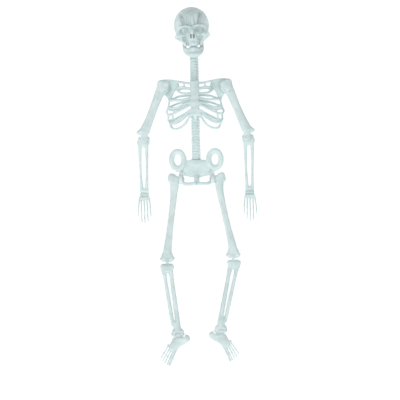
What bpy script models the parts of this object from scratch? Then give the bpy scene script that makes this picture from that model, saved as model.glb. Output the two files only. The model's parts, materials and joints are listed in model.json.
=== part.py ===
"""Hanging skeleton figure, 0.9 m tall: moulded plastic bones pinned together at the joints.

Lengths are millimetres. X runs to the figure's own left, it faces -Y, and heights run up from the crown of
the skull, so they are below zero. The point (0, 0) across and back is the axis of the spine. place() turns
them into metres from the middle of the hanging eye, which is the model's origin.
"""
import math

import bmesh
import bpy
from mathutils import Matrix, Vector

MM = 0.001
GAP = 0.3  # air between pieces that touch
SIDES = {"left": 1, "right": -1}

# The head leans a little towards the figure's right, about the throat
HEAD_LEAN = math.radians(-3.5)
THROAT = -120.0

# The hanging eye on the back of the crown, before the head leans
EYE_BACK = 34.0
EYE_HEIGHT = -6.8
EYE_RADIUS = 5.0
EYE_WIRE = 1.0
EYE_SHANK = 1.5
EYE_WASHER = 3.5
EYE_LEANT = (math.sin(HEAD_LEAN) * (EYE_HEIGHT - THROAT),
             THROAT + math.cos(HEAD_LEAN) * (EYE_HEIGHT - THROAT))

# Skull and jaw
CRANIUM = ((0, -4, -46), (44, 53, 46))  # centre and half sizes
CAVITY = ((0, 0, -42), (40.5, 46, 38.5))
FACE_CAVITY = ((0, -25, -68), (27, 19, 18))
EYE_SOCKET = ((17.5, -60, -61), (9.6, 12, 7.8))
JAW_PIN = (-14, -80)  # back and height of its axis
JAW_PIN_RADIUS = 1.6
JAW_PIN_REACH = 28.5
RAMUS_X = 22.0
BASE_HALF = 17.5  # half width of the skull's base, between the jaw's upright branches

# Spine
COLUMN_RADIUS = 11.2
COLUMN_WAIST = 9.4
NECK_TOP = -92.0
SACRUM_TOP = -382.0
VERTEBRA = 18.0
PEG_RADIUS = 6.0
NECK_FLANGE = (-77.0, -74.0, 8.5)  # underside, top and radius

# Chest
CHEST_Y = -16.0
BLADE_BACK, BLADE_FRONT = -6.0, -12.0  # faces of the shoulder blades
SHOULDER = (79, -194)
SHOULDER_RIVET = 2.5

# Arms
ARM_Y = -19.5
ELBOW = (128, -328)
LAP_Y = -19.7  # where the upper arm's tongue meets the forearm
ELBOW_PIN_RADIUS = 2.0
ELBOW_PIN_ENDS = (-28.0, -7.2)  # its front and back
ELBOW_HEAD = (4.0, 1.6)  # radius and length of the pin's heads
HAND = (131, -466)
# each finger's root, knuckle and tip out from the hand's middle, and the height of its tip
FINGERS = ((12.5, 15.5, 16, -520), (8, 8.5, 7.5, -536), (1, 0.8, 0, -539), (-5.5, -7, -7.5, -533),
           (-11.5, -14, -15, -521))

# Pelvis and legs
HIP_HEIGHT = -430.0
FLANGE_INNER, FLANGE_OUTER = 35.0, 44.7
FLANGE_RADIUS = 12.5
HIP_PEG_RADIUS = 3.8
HIP_X = 56.0
KNEE = {"left": (87, -631), "right": (78, -637)}  # middle of the gap in the knee
ANKLE = {"left": (51.5, -808), "right": (56, -815)}
KNEE_PIN_UP = 9.5  # the knee pin's height over the middle of the gap
LEG_PIN_RADIUS = 1.6
TONGUE = 3.5  # half thickness of the knee's tongue
ANKLE_TONGUE = 5.0
ANKLE_KNUCKLE = 6.8  # radius of the foot's tongue around the ankle pin
HEEL_INNER = 17.8  # how far in from the ankle the heel may rise beside the fork

# How finely the mouldings are made
FINE, MIDDLE, COARSE = 1.1, 1.5, 2.2  # cell sizes


def place(x, y, z):
    """A point of the figure, in metres from the middle of the hanging eye."""
    return Vector((x - EYE_LEANT[0], y - EYE_BACK, z - EYE_LEANT[1])) * MM


# ---------------------------------------------------------------- raw shapes, gathered as clay

class Clay:
    """Points and faces of overlapping raw shapes, before they are run together."""

    def __init__(self):
        self.points = []
        self.faces = []

    def add(self, points, faces):
        first = len(self.points)
        self.points += [tuple(point) for point in points]
        self.faces += [[first + corner for corner in face] for face in faces]


def unit_shape(shape):
    """The points and faces of a primitive."""
    points = [vert.co.copy() for vert in shape.verts]
    faces = [[vert.index for vert in face.verts] for face in shape.faces]
    shape.free()
    return points, faces


def unit_ball(across, up):
    shape = bmesh.new()
    bmesh.ops.create_uvsphere(shape, u_segments=across, v_segments=up, radius=1)
    return unit_shape(shape)


def unit_rod(sides):
    shape = bmesh.new()
    bmesh.ops.create_cone(shape, cap_ends=True, segments=sides, radius1=1, radius2=1, depth=1)
    return unit_shape(shape)


def unit_box():
    shape = bmesh.new()
    bmesh.ops.create_cube(shape, size=1)
    return unit_shape(shape)


def ball(clay, centre, radii, across=16, up=10):
    """An ellipsoid."""
    if isinstance(radii, (int, float)):
        radii = (radii, radii, radii)
    points, faces = unit_ball(across, up)
    clay.add([place(*(c + r * p for c, r, p in zip(centre, radii, point))) for point in points], faces)


def box(clay, low, high):
    """A block between any two opposite corners."""
    low, high = place(*low), place(*high)
    size = Vector([abs(b - a) for a, b in zip(low, high)])
    points, faces = unit_box()
    clay.add([(low + high) / 2 + size * point for point in points], faces)


def rod(clay, start, end, radius, end_radius=None, sides=12, depth=1.0):
    """A cylinder or cone between two points; depth squeezes its section along Y."""
    end_radius = radius if end_radius is None else end_radius
    start, end = Vector(start), Vector(end)
    along = end - start
    turn = along.to_track_quat("Z", "X")
    points, faces = unit_rod(sides)
    placed = []
    for point in points:
        share = point.z + 0.5
        spoke = turn @ Vector((point.x, point.y, 0)) * (radius + (end_radius - radius) * share)
        placed.append(place(*(start + along * share + spoke * Vector((1, depth, 1)))))
    clay.add(placed, faces)


def stroke(clay, points, radii, depth=1.0):
    """A rounded bar through the points; depth flattens its section front to back."""
    if isinstance(radii, (int, float)):
        radii = [radii] * len(points)
    for i, (point, radius) in enumerate(zip(points, radii)):
        ball(clay, point, (radius, radius * depth, radius))
        if i and (Vector(point) - Vector(points[i - 1])).length > 0.1:
            rod(clay, points[i - 1], point, radii[i - 1], radius, sides=16, depth=depth)


def smooth_path(points, steps=4):
    """Points along a smooth curve through the given ones."""
    knots = [Vector(p) for p in points]
    knots = [2 * knots[0] - knots[1], *knots, 2 * knots[-1] - knots[-2]]
    path = []
    for a, b, c, d in zip(knots, knots[1:], knots[2:], knots[3:]):
        for step in range(steps):
            t = step / steps
            path.append(0.5 * (2 * b + (c - a) * t + (2 * a - 5 * b + 4 * c - d) * t ** 2
                               + (3 * b - a - 3 * c + d) * t ** 3))
    return [*path, knots[-2]]


def mirrored(points, side):
    return [(side * x, y, z) for x, y, z in points]


# ---------------------------------------------------------------- objects

def plastic(name, colour, roughness, metallic=0.0):
    material = bpy.data.materials.new(name)
    material.use_nodes = True
    shader = material.node_tree.nodes["Principled BSDF"]
    shader.inputs["Base Color"].default_value = (*colour, 1)
    shader.inputs["Roughness"].default_value = roughness
    shader.inputs["Metallic"].default_value = metallic
    return material


def solid(name, clay, material=None):
    """An object from the raw shapes; without a material it is a cutter."""
    mesh = bpy.data.meshes.new(name)
    mesh.from_pydata(clay.points, [], clay.faces)
    body = bpy.data.objects.new(name, mesh)
    if material:
        mesh.materials.append(material)
        PARTS.objects.link(body)
    else:
        body.hide_render = True
        body.display_type = "WIRE"
        CUTTERS.objects.link(body)
    return body


def evaluated_mesh(body):
    return bpy.data.meshes.new_from_object(body.evaluated_get(bpy.context.evaluated_depsgraph_get()))


def moulding(name, clay, cell, triangles, material):
    """The raw shapes run together into one soft-edged body of about so many triangles."""
    body = solid(name, clay, material)
    bench = bpy.context.scene.collection
    bench.objects.link(body)
    remesh = body.modifiers.new("run together", "REMESH")
    remesh.mode = "VOXEL"
    remesh.voxel_size = cell * MM
    soften = body.modifiers.new("soften", "SMOOTH")
    soften.iterations = 3
    faces = len(evaluated_mesh(body).polygons)
    thin = body.modifiers.new("thin out", "DECIMATE")
    thin.ratio = min(1.0, triangles / (2 * faces))
    thin.use_collapse_triangulate = True
    raw = body.data
    body.data = evaluated_mesh(body)
    bench.objects.unlink(body)
    body.modifiers.clear()
    body.data.materials.clear()
    body.data.materials.append(material)
    body.data.name = name
    bpy.data.meshes.remove(raw)
    body.data.shade_smooth()
    return body


def carve(body, clay, operation="DIFFERENCE"):
    """Cuts the raw shapes out of a body, or keeps only what is inside them."""
    cutter = solid(f"{body.name}_cutter_{len(body.modifiers)}", clay)
    boolean = body.modifiers.new(cutter.name, "BOOLEAN")
    boolean.operation = operation
    boolean.object = cutter
    boolean.use_self = False


def carve_rod(body, start, end, radius, sides=10):
    clay = Clay()
    rod(clay, start, end, radius, sides=sides)
    carve(body, clay)


def carve_box(body, low, high):
    clay = Clay()
    box(clay, low, high)
    carve(body, clay)


def carve_ball(body, centre, radii):
    clay = Clay()
    ball(clay, centre, radii, across=12, up=8)
    carve(body, clay)


def lean(bodies):
    """Turns the head's pieces about the throat."""
    throat = place(0, 0, THROAT)
    for body in bodies:
        body.matrix_world = (Matrix.Translation(throat) @ Matrix.Rotation(HEAD_LEAN, 4, "Y")
                             @ Matrix.Translation(-throat))


def twin(body, name):
    """A second object from the same uncut mesh, with the same cuts."""
    copy = bpy.data.objects.new(name, body.data)
    PARTS.objects.link(copy)
    for modifier in body.modifiers:
        same = copy.modifiers.new(modifier.name, "BOOLEAN")
        same.operation = modifier.operation
        same.object = modifier.object
    return copy


def carve_core(body, start, end, radius, depth):
    """Hollows a shaft with a flattened rod."""
    clay = Clay()
    rod(clay, start, end, radius, sides=8, depth=depth)
    carve(body, clay)


def split(body, back_name, y):
    """Parts a body into a front and a back shell along the plane at y."""
    far = 1000
    back = twin(body, back_name)
    carve_box(body, (-far, y - GAP / 2, -far), (far, far, far))
    carve_box(back, (-far, -far, -far), (far, y + GAP / 2, far))


def fastener(name, start, end, radius, head_radius, head_length, material, both_ends=False):
    """A pin or rivet with a head over its start, and over its end too if both_ends."""
    start, end = Vector(start), Vector(end)
    along = (end - start).normalized()
    profile = [(start, head_radius), (start + along * head_length, head_radius),
               (start + along * head_length, radius)]
    if both_ends:
        profile += [(end - along * head_length, radius), (end - along * head_length, head_radius),
                    (end, head_radius)]
    else:
        profile.append((end, radius))
    clay = Clay()
    turned(clay, profile, along)
    return solid(name, clay, material)


def turned(clay, profile, along, sides=8):
    """A closed turned body: rings of the given radii around points on a straight axis."""
    across = along.orthogonal().normalized()
    spokes = [Matrix.Rotation(math.tau * step / sides, 3, along) @ across for step in range(sides)]
    points = [place(*(point + spoke * radius)) for point, radius in profile for spoke in spokes]
    faces = [list(reversed(range(sides))), list(range(len(points) - sides, len(points)))]
    for ring in range(len(profile) - 1):
        for step in range(sides):
            low, after = ring * sides + step, ring * sides + (step + 1) % sides
            faces.append([low, after, after + sides, low + sides])
    clay.add(points, faces)


# ---------------------------------------------------------------- head

def make_skull(material):
    clay = Clay()
    ball(clay, *CRANIUM)
    ball(clay, (0, -27, -70), (32, 27, 29))
    ball(clay, (0, -36, -86), (24, 20, 12.5))
    ball(clay, (0, 0, -72), (41, 30, 21))
    upper_jaw = [(-18, -46, -95), (-10, -52.5, -96), (0, -55, -96), (10, -52.5, -96), (18, -46, -94)]
    stroke(clay, upper_jaw, 4.6)
    box(clay, (-BASE_HALF, -30, -91), (BASE_HALF, 4, -70))
    for side in (1, -1):
        stroke(clay, mirrored([(5, -57, -54), (16, -56, -51), (30, -43, -55), (34, -36, -64)], side), 4)
        stroke(clay, mirrored([(36, -36, -66), (31, -44, -74), (20, -49, -80)], side), (6, 7, 6))
        stroke(clay, mirrored([(36, -36, -68), (38, -14, -68), (37, 2, -64)], side), 3.6)
        ball(clay, (side * 24, -34, -82), (8, 12, 10))
    stroke(clay, [(0, -57, -56), (0, -61, -68), (0, -60, -72)], (4, 4.5, 3.5))
    front = moulding("skull_front", clay, COARSE, 1100, material)
    for side in (1, -1):
        (x, y, z), radii = EYE_SOCKET
        carve_ball(front, (side * x, y, z), radii)
        carve_ball(front, (side * 4.2, -58, -78), (3, 6, 5))
        # room beside the skull base for the jaw's upright branches
        carve_box(front, (side * (BASE_HALF + GAP), -26, -110), (side * 34.5, -2, -70))
    carve_ball(front, *CAVITY)
    carve_ball(front, *FACE_CAVITY)
    y, z = JAW_PIN
    carve_rod(front, (-60, y, z), (60, y, z), JAW_PIN_RADIUS + GAP)
    carve_rod(front, (0, EYE_BACK, 0), (0, EYE_BACK, -30), EYE_SHANK + GAP)
    lean(CUTTERS.objects)
    # the spine's own hole stays upright
    carve_rod(front, (0, 0, -70), (0, 0, -100), PEG_RADIUS + GAP, sides=16)
    carve_rod(front, (0, 0, NECK_TOP + GAP), (0, 0, -130), COLUMN_RADIUS + 2, sides=16)
    split(front, "skull_back", 0)
    lean([front, PARTS.objects["skull_back"]])


def make_hanging_eye(material):
    """A ring on a shank, held by a washer inside the crown."""
    clay = Clay()
    turns = 20
    ring = [(EYE_RADIUS * math.cos(math.tau * i / turns), EYE_BACK,
             EYE_HEIGHT + EYE_RADIUS * math.sin(math.tau * i / turns)) for i in range(turns + 1)]
    stroke(clay, ring, EYE_WIRE)
    rod(clay, (0, EYE_BACK, EYE_HEIGHT - EYE_RADIUS), (0, EYE_BACK, EYE_HEIGHT - 16), EYE_SHANK)
    rod(clay, (0, EYE_BACK, EYE_HEIGHT - 16), (0, EYE_BACK, EYE_HEIGHT - 18), EYE_WASHER)
    lean([moulding("hanging_eye", clay, 0.45, 320, material)])


def make_jaw(material):
    y, z = JAW_PIN
    clay = Clay()
    for side in (1, -1):
        branch = [(RAMUS_X, y, z), (RAMUS_X + 0.3, y, z - 14), (21, y - 6, z - 26)]
        stroke(clay, mirrored(branch, side), (4.4, 4.2, 5))
        chin = [(21, y - 6, -106), (18.5, -34, -114), (12, -44, -119.5), (0, -52.5, -121.5)]
        stroke(clay, mirrored(chin, side), (5, 5.5, 6, 6))
        teeth = [(19.5, -25, -106), (16.5, -38, -107), (10, -46, -107.5), (0, -51, -107.5)]
        stroke(clay, mirrored(teeth, side), (3.5, 4, 4, 4))
        stroke(clay, mirrored([(13, -42, -113), (6, -49, -114), (0, -51, -114)], side), 4)
    jaw = moulding("jaw", clay, MIDDLE, 420, material)
    for side in (1, -1):
        carve_box(jaw, (side * 10, y - 12, -98), (side * (BASE_HALF + 0.8), y + 12, -60))
    carve_rod(jaw, (-60, y, z), (60, y, z), JAW_PIN_RADIUS + GAP)
    pin = fastener("jaw_pin", (-JAW_PIN_REACH, y, z), (JAW_PIN_REACH, y, z), JAW_PIN_RADIUS, 3.2, 1.6,
                   METAL, both_ends=True)
    lean([jaw, pin, *(cutter for cutter in CUTTERS.objects if cutter.name.startswith("jaw_cutter"))])


# ---------------------------------------------------------------- trunk

def make_spine(material):
    under, top, flange = NECK_FLANGE
    profile = [(top, flange), (under, flange), (under, PEG_RADIUS), (NECK_TOP, PEG_RADIUS)]
    count = round((NECK_TOP - SACRUM_TOP) / VERTEBRA)
    pitch = (NECK_TOP - SACRUM_TOP) / count
    for i in range(count):
        head = NECK_TOP - i * pitch
        profile += [(head, COLUMN_WAIST), (head - pitch / 2, COLUMN_RADIUS)]
    profile += [(SACRUM_TOP, COLUMN_WAIST), (SACRUM_TOP, PEG_RADIUS), (SACRUM_TOP - 9, PEG_RADIUS)]
    clay = Clay()
    upwards = [(Vector((0, 0, z)), radius) for z, radius in reversed(profile)]
    turned(clay, upwards, Vector((0, 0, 1)), sides=12)
    spine = solid("spine", clay, material)
    for height in CHEST_SCREWS:
        carve_rod(spine, (0, 4, height), (0, 20, height), 1.4, sides=8)


def chest_half_width(z):
    """Half the cage's width at a height: narrow at the collar, widest two thirds down."""
    return 46 + 26 * math.sin(math.pi / 2 * max(0.0, min(1.0, (-200 - z) / 62))) ** 1.2


def chest_y(x, z, front):
    """Front or back of the cage at a point, from its oval section."""
    across = min(1.0, abs(x) / chest_half_width(z))
    half_depth = 18 + 15 * min(1.0, (-185 - z) / 75) if front else 31
    return CHEST_Y + (-1 if front else 1) * half_depth * math.sqrt(1 - across ** 2)


# each rib's way out from the breastbone or the column, across and up
FRONT_RIBS = (
    ((9, -193), (28, -190), (44, -187)),
    ((9, -206), (28, -202), (40, -203.5)),
    ((9, -218), (27, -217.5), (38, -214), (45, -206.5)),
    ((9, -229), (31, -233.5), (45, -234), (60, -233)),
    ((9, -239.5), (24, -243.5), (38.5, -250), (51, -254), (63.5, -253)),
    ((9, -244), (29, -255.5), (46, -264), (56, -268), (64.5, -269.5)),
    ((9, -260.5), (18, -263.5), (26.5, -274), (39.5, -283.5), (52, -290), (63, -290)),
    ((9, -261), (15.5, -278.5), (27, -295), (40, -303.5), (53, -305.5), (60.5, -300), (61.5, -290.5)),
)
RIB_LINKS = (((51, -254), (53.5, -261), (51, -267)), ((55, -268), (56, -278), (53, -290)))
BACK_RIBS = (
    ((7, -205), (24, -203), (40, -205)),
    ((7, -220.5), (28, -221.5), (41, -223.5), (59, -231.5)),
    ((7, -233), (20, -235.5), (41.5, -240), (57, -246.5), (65, -250.5)),
    ((7, -242), (24, -246), (38.5, -252.5), (52, -257), (64, -256)),
    ((7, -261.5), (20.5, -263.5), (28, -267.5), (42, -275), (53.5, -281.5), (65, -283)),
    ((7, -264), (18, -267), (27, -276), (40, -285.5), (53, -291.5)),
)
SIDE_CHAIN = ((61, -226), (63.5, -234), (67, -250), (71.5, -262), (67, -272), (68, -282), (62.5, -292))
RIB = 2.5
CHEST_SCREWS = (-206, -240, -274)


def rib_paths(ribs, front):
    """Each rib on both sides, laid on the cage's oval and brought round to its side."""
    for rib in ribs:
        flat = smooth_path([(x, 0, z) for x, z in rib], 2)
        path = [(x, chest_y(x, z, front), z) for x, _, z in flat]
        x, _, z = path[-1]
        if x > 50:
            path.append((x + 0.5, CHEST_Y + (0 if front else 3), z))
        for side in (1, -1):
            yield mirrored(path, side)


def make_chest_front(material):
    """Breastbone, collar bones and front ribs."""
    clay = Clay()
    for x in (-6, 0, 6):
        stroke(clay, [(x, chest_y(9, z, True), z) for z in (-190, -207, -224, -241, -258, -270)], 4.6)
    stroke(clay, [(0, chest_y(9, -270, True), -270), (0, chest_y(9, -270, True) + 2, -284)], (5, 3))
    for path in rib_paths(FRONT_RIBS, True):
        stroke(clay, path, RIB)
    for side in (1, -1):
        for link in (*RIB_LINKS, ((26, -191), (26, -200))):
            stroke(clay, mirrored([(x, chest_y(x, z, True), z) for x, z in link], side), 2.2)
    front = moulding("rib_cage_front", clay, MIDDLE, 1800, material)
    carve_box(front, (-90, CHEST_Y, -170), (90, 40, -320))


def make_chest_back(material):
    """Back ribs, shoulder blades, and the strip that is screwed to the spine."""
    clay = Clay()
    for x in (-5, 0, 5):
        stroke(clay, [(x, 14.5, -192), (x, 14.5, -284)], 3.4)
    for path in rib_paths(BACK_RIBS, False):
        stroke(clay, path, RIB)
    middle = (BLADE_FRONT + BLADE_BACK) / 2
    for side in (1, -1):
        chain = [(x, CHEST_Y + 3, z) for x, z in SIDE_CHAIN]
        stroke(clay, mirrored(chain, side), 2.4)
        blade = [(44, -196), (50, -190), (60, -189), (72, -190), (84, -190)]
        stroke(clay, mirrored([(x, middle, z) for x, z in blade], side), (6, 6.5, 7.5, 9, 9), 0.6)
        inner = [(50, -194), (56, -203), (61, -217), (62, -232)]
        stroke(clay, mirrored([(x, middle, z) for x, z in inner], side), (8, 9, 6, 3.5), 0.7)
        outer = [(80, -196), (74, -206), (67, -219), (62, -232)]
        stroke(clay, mirrored([(x, middle, z) for x, z in outer], side), (9, 7, 5, 3.5), 0.7)
        stroke(clay, mirrored([(66, middle, -200), (64, middle, -212)], side), (9, 7), 0.5)
        # the lug that ties the blade to the back ribs
        stroke(clay, mirrored([(46, middle, -200), (42, 2, -204), (38, 8, -205)], side), 3.5)
    back = moulding("rib_cage_back", clay, MIDDLE, 1900, material)
    carve_rod(back, (0, 0, -180), (0, 0, -300), COLUMN_RADIUS + GAP, sides=16)
    for side in (1, -1):
        carve_box(back, (side * 44.5, BLADE_FRONT - 6, -170), (side * 100, BLADE_FRONT, -229))
        x, z = SHOULDER
        carve_box(back, (side * (x - 13), BLADE_BACK, z + 30), (side * (x + 30), 10, z - 24))
        carve_rod(back, (side * x, -30, z), (side * x, 10, z), SHOULDER_RIVET + GAP)
    for height in CHEST_SCREWS:
        carve_rod(back, (0, 4, height), (0, 30, height), 1.4 + GAP, sides=8)
    return back


def make_chest_screws():
    """Three screws that hold the back of the cage to the spine."""
    for number, height in enumerate(CHEST_SCREWS, 1):
        fastener(f"chest_screw_{number}", (0, 21, height), (0, 5, height), 1.1, 3, 2.4, METAL)


def bowl_y(x, z):
    """The domed wall of the pelvis, flush with the column at its top."""
    return -7 + 8 * (x / 46) ** 2 + 0.006 * (z + 386) ** 2


def make_pelvis(material):
    clay = Clay()
    rows = ((-385.5, 26), (-389, 32), (-392, 38), (-396, 42), (-400, 45), (-404, 46), (-408, 44),
            (-412, 40), (-416, 38), (-419, 34), (-422, 22), (-425, 11))
    for z, half in rows:
        across = [half * share / 5 for share in range(-5, 6)]
        stroke(clay, [(x, bowl_y(x, z), z) for x in across], 2.6)
    ball(clay, (0, 0.5, -391), (17, 11.5, 10))
    for side in (1, -1):
        turns = 20
        ring = [(46.5 + 15.3 * math.cos(math.tau * i / turns), -4,
                 -382 + 21.3 * math.sin(math.tau * i / turns)) for i in range(turns + 1)]
        stroke(clay, mirrored(ring, side), 6.2, 0.85)
        rim = [(58, -4, -394), (56, -3.5, -400), (47, -2, -405), (40, 0, -416)]
        stroke(clay, mirrored(rim, side), (5, 5, 5.6, 5))
        rod(clay, (side * FLANGE_INNER, 0, HIP_HEIGHT), (side * (FLANGE_OUTER + 1), 0, HIP_HEIGHT),
            FLANGE_RADIUS, sides=20)
        stroke(clay, mirrored([(33, -1, -416), (36, 0, -424)], side), 4)
        pubis = [(36, -3, -438), (27, -7, -442.5), (14, -8, -442.5), (0, -8, -441)]
        stroke(clay, mirrored(pubis, side), (4.2, 4, 4, 5))
    for x in (-1.5, 1.5):
        stroke(clay, [(x, -7, -441), (x, -4, -432), (x, 0, -424)], (5, 4.8, 5))
    pelvis = moulding("pelvis", clay, MIDDLE, 1000, material)
    carve_rod(pelvis, (0, 0, SACRUM_TOP + 20), (0, 0, SACRUM_TOP - GAP), COLUMN_RADIUS + 4, sides=16)
    carve_rod(pelvis, (0, 0, SACRUM_TOP + 5), (0, 0, SACRUM_TOP - 9.5), PEG_RADIUS + GAP)
    for side in (1, -1):
        carve_rod(pelvis, (side * 28, 0, HIP_HEIGHT), (side * (FLANGE_INNER - 0.2), 0, HIP_HEIGHT), 7.2)
        carve_rod(pelvis, (side * 30, 0, HIP_HEIGHT), (side * 60, 0, HIP_HEIGHT), HIP_PEG_RADIUS + GAP)
        carve_box(pelvis, (side * FLANGE_OUTER, -30, -412), (side * 60, 30, -460))


# ---------------------------------------------------------------- arms

def make_upper_arm(name, side, material):
    """Two shells: a heart-shaped head that laps the shoulder blade, a shaft and the elbow's tongue."""
    x, z = ELBOW
    clay = Clay()
    stroke(clay, mirrored([(84, ARM_Y, -192), (82, ARM_Y, -203), (90, ARM_Y, -219)], side),
           (10, 12.5, 11.5), 0.68)
    stroke(clay, mirrored([(72, ARM_Y, -194), (75, ARM_Y, -206), (80, ARM_Y, -214)], side),
           (9.5, 9, 7), 0.72)
    shaft = [(88, ARM_Y, -214), (104, ARM_Y, -254), (116, ARM_Y, -284), (126, ARM_Y, -306)]
    stroke(clay, mirrored(shaft, side), (11.5, 10, 10.8, 12.5), 0.68)
    stroke(clay, mirrored([(121, ARM_Y, -308), (134, ARM_Y, -310), (141, ARM_Y, -312)], side),
           (7, 7.5, 6.5), 0.9)
    stroke(clay, mirrored([(x, ARM_Y - 4, -312), (x, ARM_Y - 4, z)], side), (9, 8.5), 0.6)
    arm = moulding(f"upper_arm_front_{name}", clay, MIDDLE, 380, material)
    carve_core(arm, (side * 95, ARM_Y, -231), (side * 120, ARM_Y, -293), 7.5, 0.62)
    carve_box(arm, (side * 40, BLADE_FRONT - GAP, -160), (side * 180, 10, -240))
    carve_box(arm, (side * 90, LAP_Y, -303), (side * 170, 10, -360))
    sx, sz = SHOULDER
    carve_rod(arm, (side * sx, BLADE_FRONT - 12, sz), (side * sx, 0, sz), SHOULDER_RIVET + GAP)
    front, head = ELBOW_PIN_ENDS[0], ELBOW_HEAD
    carve_rod(arm, (side * x, -40, z), (side * x, 0, z), ELBOW_PIN_RADIUS + GAP)
    carve_rod(arm, (side * x, -40, z), (side * x, front + head[1] + GAP, z), head[0] + GAP)
    split(arm, f"upper_arm_back_{name}", LAP_Y + 2 * GAP)
    fastener(f"shoulder_rivet_{name}", (side * sx, -2, sz), (side * sx, BLADE_FRONT - 11, sz),
             SHOULDER_RIVET, 5.5, 2.8, METAL)


def make_forearm(name, side, material):
    """Both forearm bones, the wrist and the hand in one moulding, and the elbow pin."""
    x, z = ELBOW
    hx, hz = HAND
    y = ARM_Y + 4.2
    clay = Clay()
    stroke(clay, mirrored([(x, y, z), (x + 3, y, z - 8)], side), (11, 14), 0.45)
    stroke(clay, mirrored([(hx - 11, y, -327.5), (hx + 8, y, -327.5)], side), (5.5, 5.5), 0.8)
    stroke(clay, mirrored([(hx - 9, y, -336), (hx + 9, y, -338)], side), (7, 7.5), 0.55)
    for offset in (-7.6, 8.6):
        bone = [(hx + offset, y, -342), (hx + offset * 1.05, y, -370), (hx + offset, y, -410),
                (hx + offset * 0.8, y, -450)]
        stroke(clay, mirrored(bone, side), (5, 3.9, 2.8, 4.4), 0.9)
    for up, inner, outer, radius in ((10, -6, 6, 5.5), (0, -6.5, 7, 5.5), (-11, -9.5, 10.5, 4.6)):
        stroke(clay, mirrored([(hx + inner, y, hz + up), (hx + outer, y, hz + up)], side), radius, 0.75)
    for root, knuckle, tip, height in FINGERS:
        stroke(clay, mirrored([(hx + root, y, hz - 11), (hx + knuckle, y - 1.5, (hz + height) / 2 - 5),
                               (hx + tip, y, height + 2)], side), (2.1, 2.1, 1.9))
    forearm = moulding(f"forearm_hand_{name}", clay, FINE, 760, material)
    carve_box(forearm, (side * 90, -50, -300), (side * 170, LAP_Y + GAP, -352))
    carve_rod(forearm, (side * x, -40, z), (side * x, 0, z), ELBOW_PIN_RADIUS + GAP)
    front, back = ELBOW_PIN_ENDS
    head_radius, head_length = ELBOW_HEAD
    carve_rod(forearm, (side * x, back - head_length - GAP, z), (side * x, 10, z), head_radius + GAP)
    fastener(f"elbow_pin_{name}", (side * x, front, z), (side * x, back, z),
             ELBOW_PIN_RADIUS, head_radius, head_length, METAL, both_ends=True)


# ---------------------------------------------------------------- legs

def make_thigh(name, side, material):
    """Two shells: hip block with its neck, shaft, and forked knee."""
    kx, kz = KNEE[name]
    pin = kz + KNEE_PIN_UP
    clay = Clay()
    rod(clay, (side * (FLANGE_OUTER + 0.5), 0, HIP_HEIGHT), (side * 60, 0, HIP_HEIGHT), 8, sides=16)
    stroke(clay, mirrored([(58, 0, -424), (63, 0, -423), (64, 0, -431), (56, 0, -440)], side),
           (8, 8, 8.5, 10), 0.95)
    shaft = [(55, 0, -440), (57.5, 0, -462), (HIP_X + (kx - HIP_X) * 0.27, 0, -500),
             (HIP_X + (kx - HIP_X) * 0.62, 0, -553), (HIP_X + (kx - HIP_X) * 0.9, 0, pin + 30),
             (kx, 0, pin + 10)]
    stroke(clay, mirrored(shaft, side), (12, 9, 7.8, 8, 9.8, 11), 0.85)
    stroke(clay, mirrored([(kx - 9, 0, pin), (kx + 9, 0, pin)], side), (8.4, 8.4))
    stroke(clay, mirrored([(kx - 6, 0, pin + 8), (kx + 6, 0, pin + 8)], side), (8.5, 8.5), 0.95)
    thigh = moulding(f"thigh_front_{name}", clay, MIDDLE, 400, material)
    for start, end in zip(shaft[1:4], shaft[2:5]):
        carve_core(thigh, (side * start[0], 0, start[2]), (side * end[0], 0, end[2]), 5.6, 0.8)
    carve_box(thigh, (side * 20, -30, -400), (side * (FLANGE_OUTER + GAP), 30, -460))
    carve_rod(thigh, (side * 40, 0, HIP_HEIGHT), (side * 60, 0, HIP_HEIGHT), HIP_PEG_RADIUS + GAP)
    carve_box(thigh, (side * (kx - TONGUE - GAP), -30, pin + 9), (side * (kx + TONGUE + GAP), 30, pin - 30))
    carve_rod(thigh, (side * (kx - 30), 0, pin), (side * (kx + 30), 0, pin), LEG_PIN_RADIUS + GAP)
    split(thigh, f"thigh_back_{name}", 0)
    fastener(f"hip_peg_{name}", (side * 30.5, 0, HIP_HEIGHT), (side * 58.5, 0, HIP_HEIGHT),
             HIP_PEG_RADIUS, 6.4, 4, METAL)
    fastener(f"knee_pin_{name}", (side * (kx - 18.5), 0, pin), (side * (kx + 18.5), 0, pin),
             LEG_PIN_RADIUS, 3.2, 1.4, METAL, both_ends=True)


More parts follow.
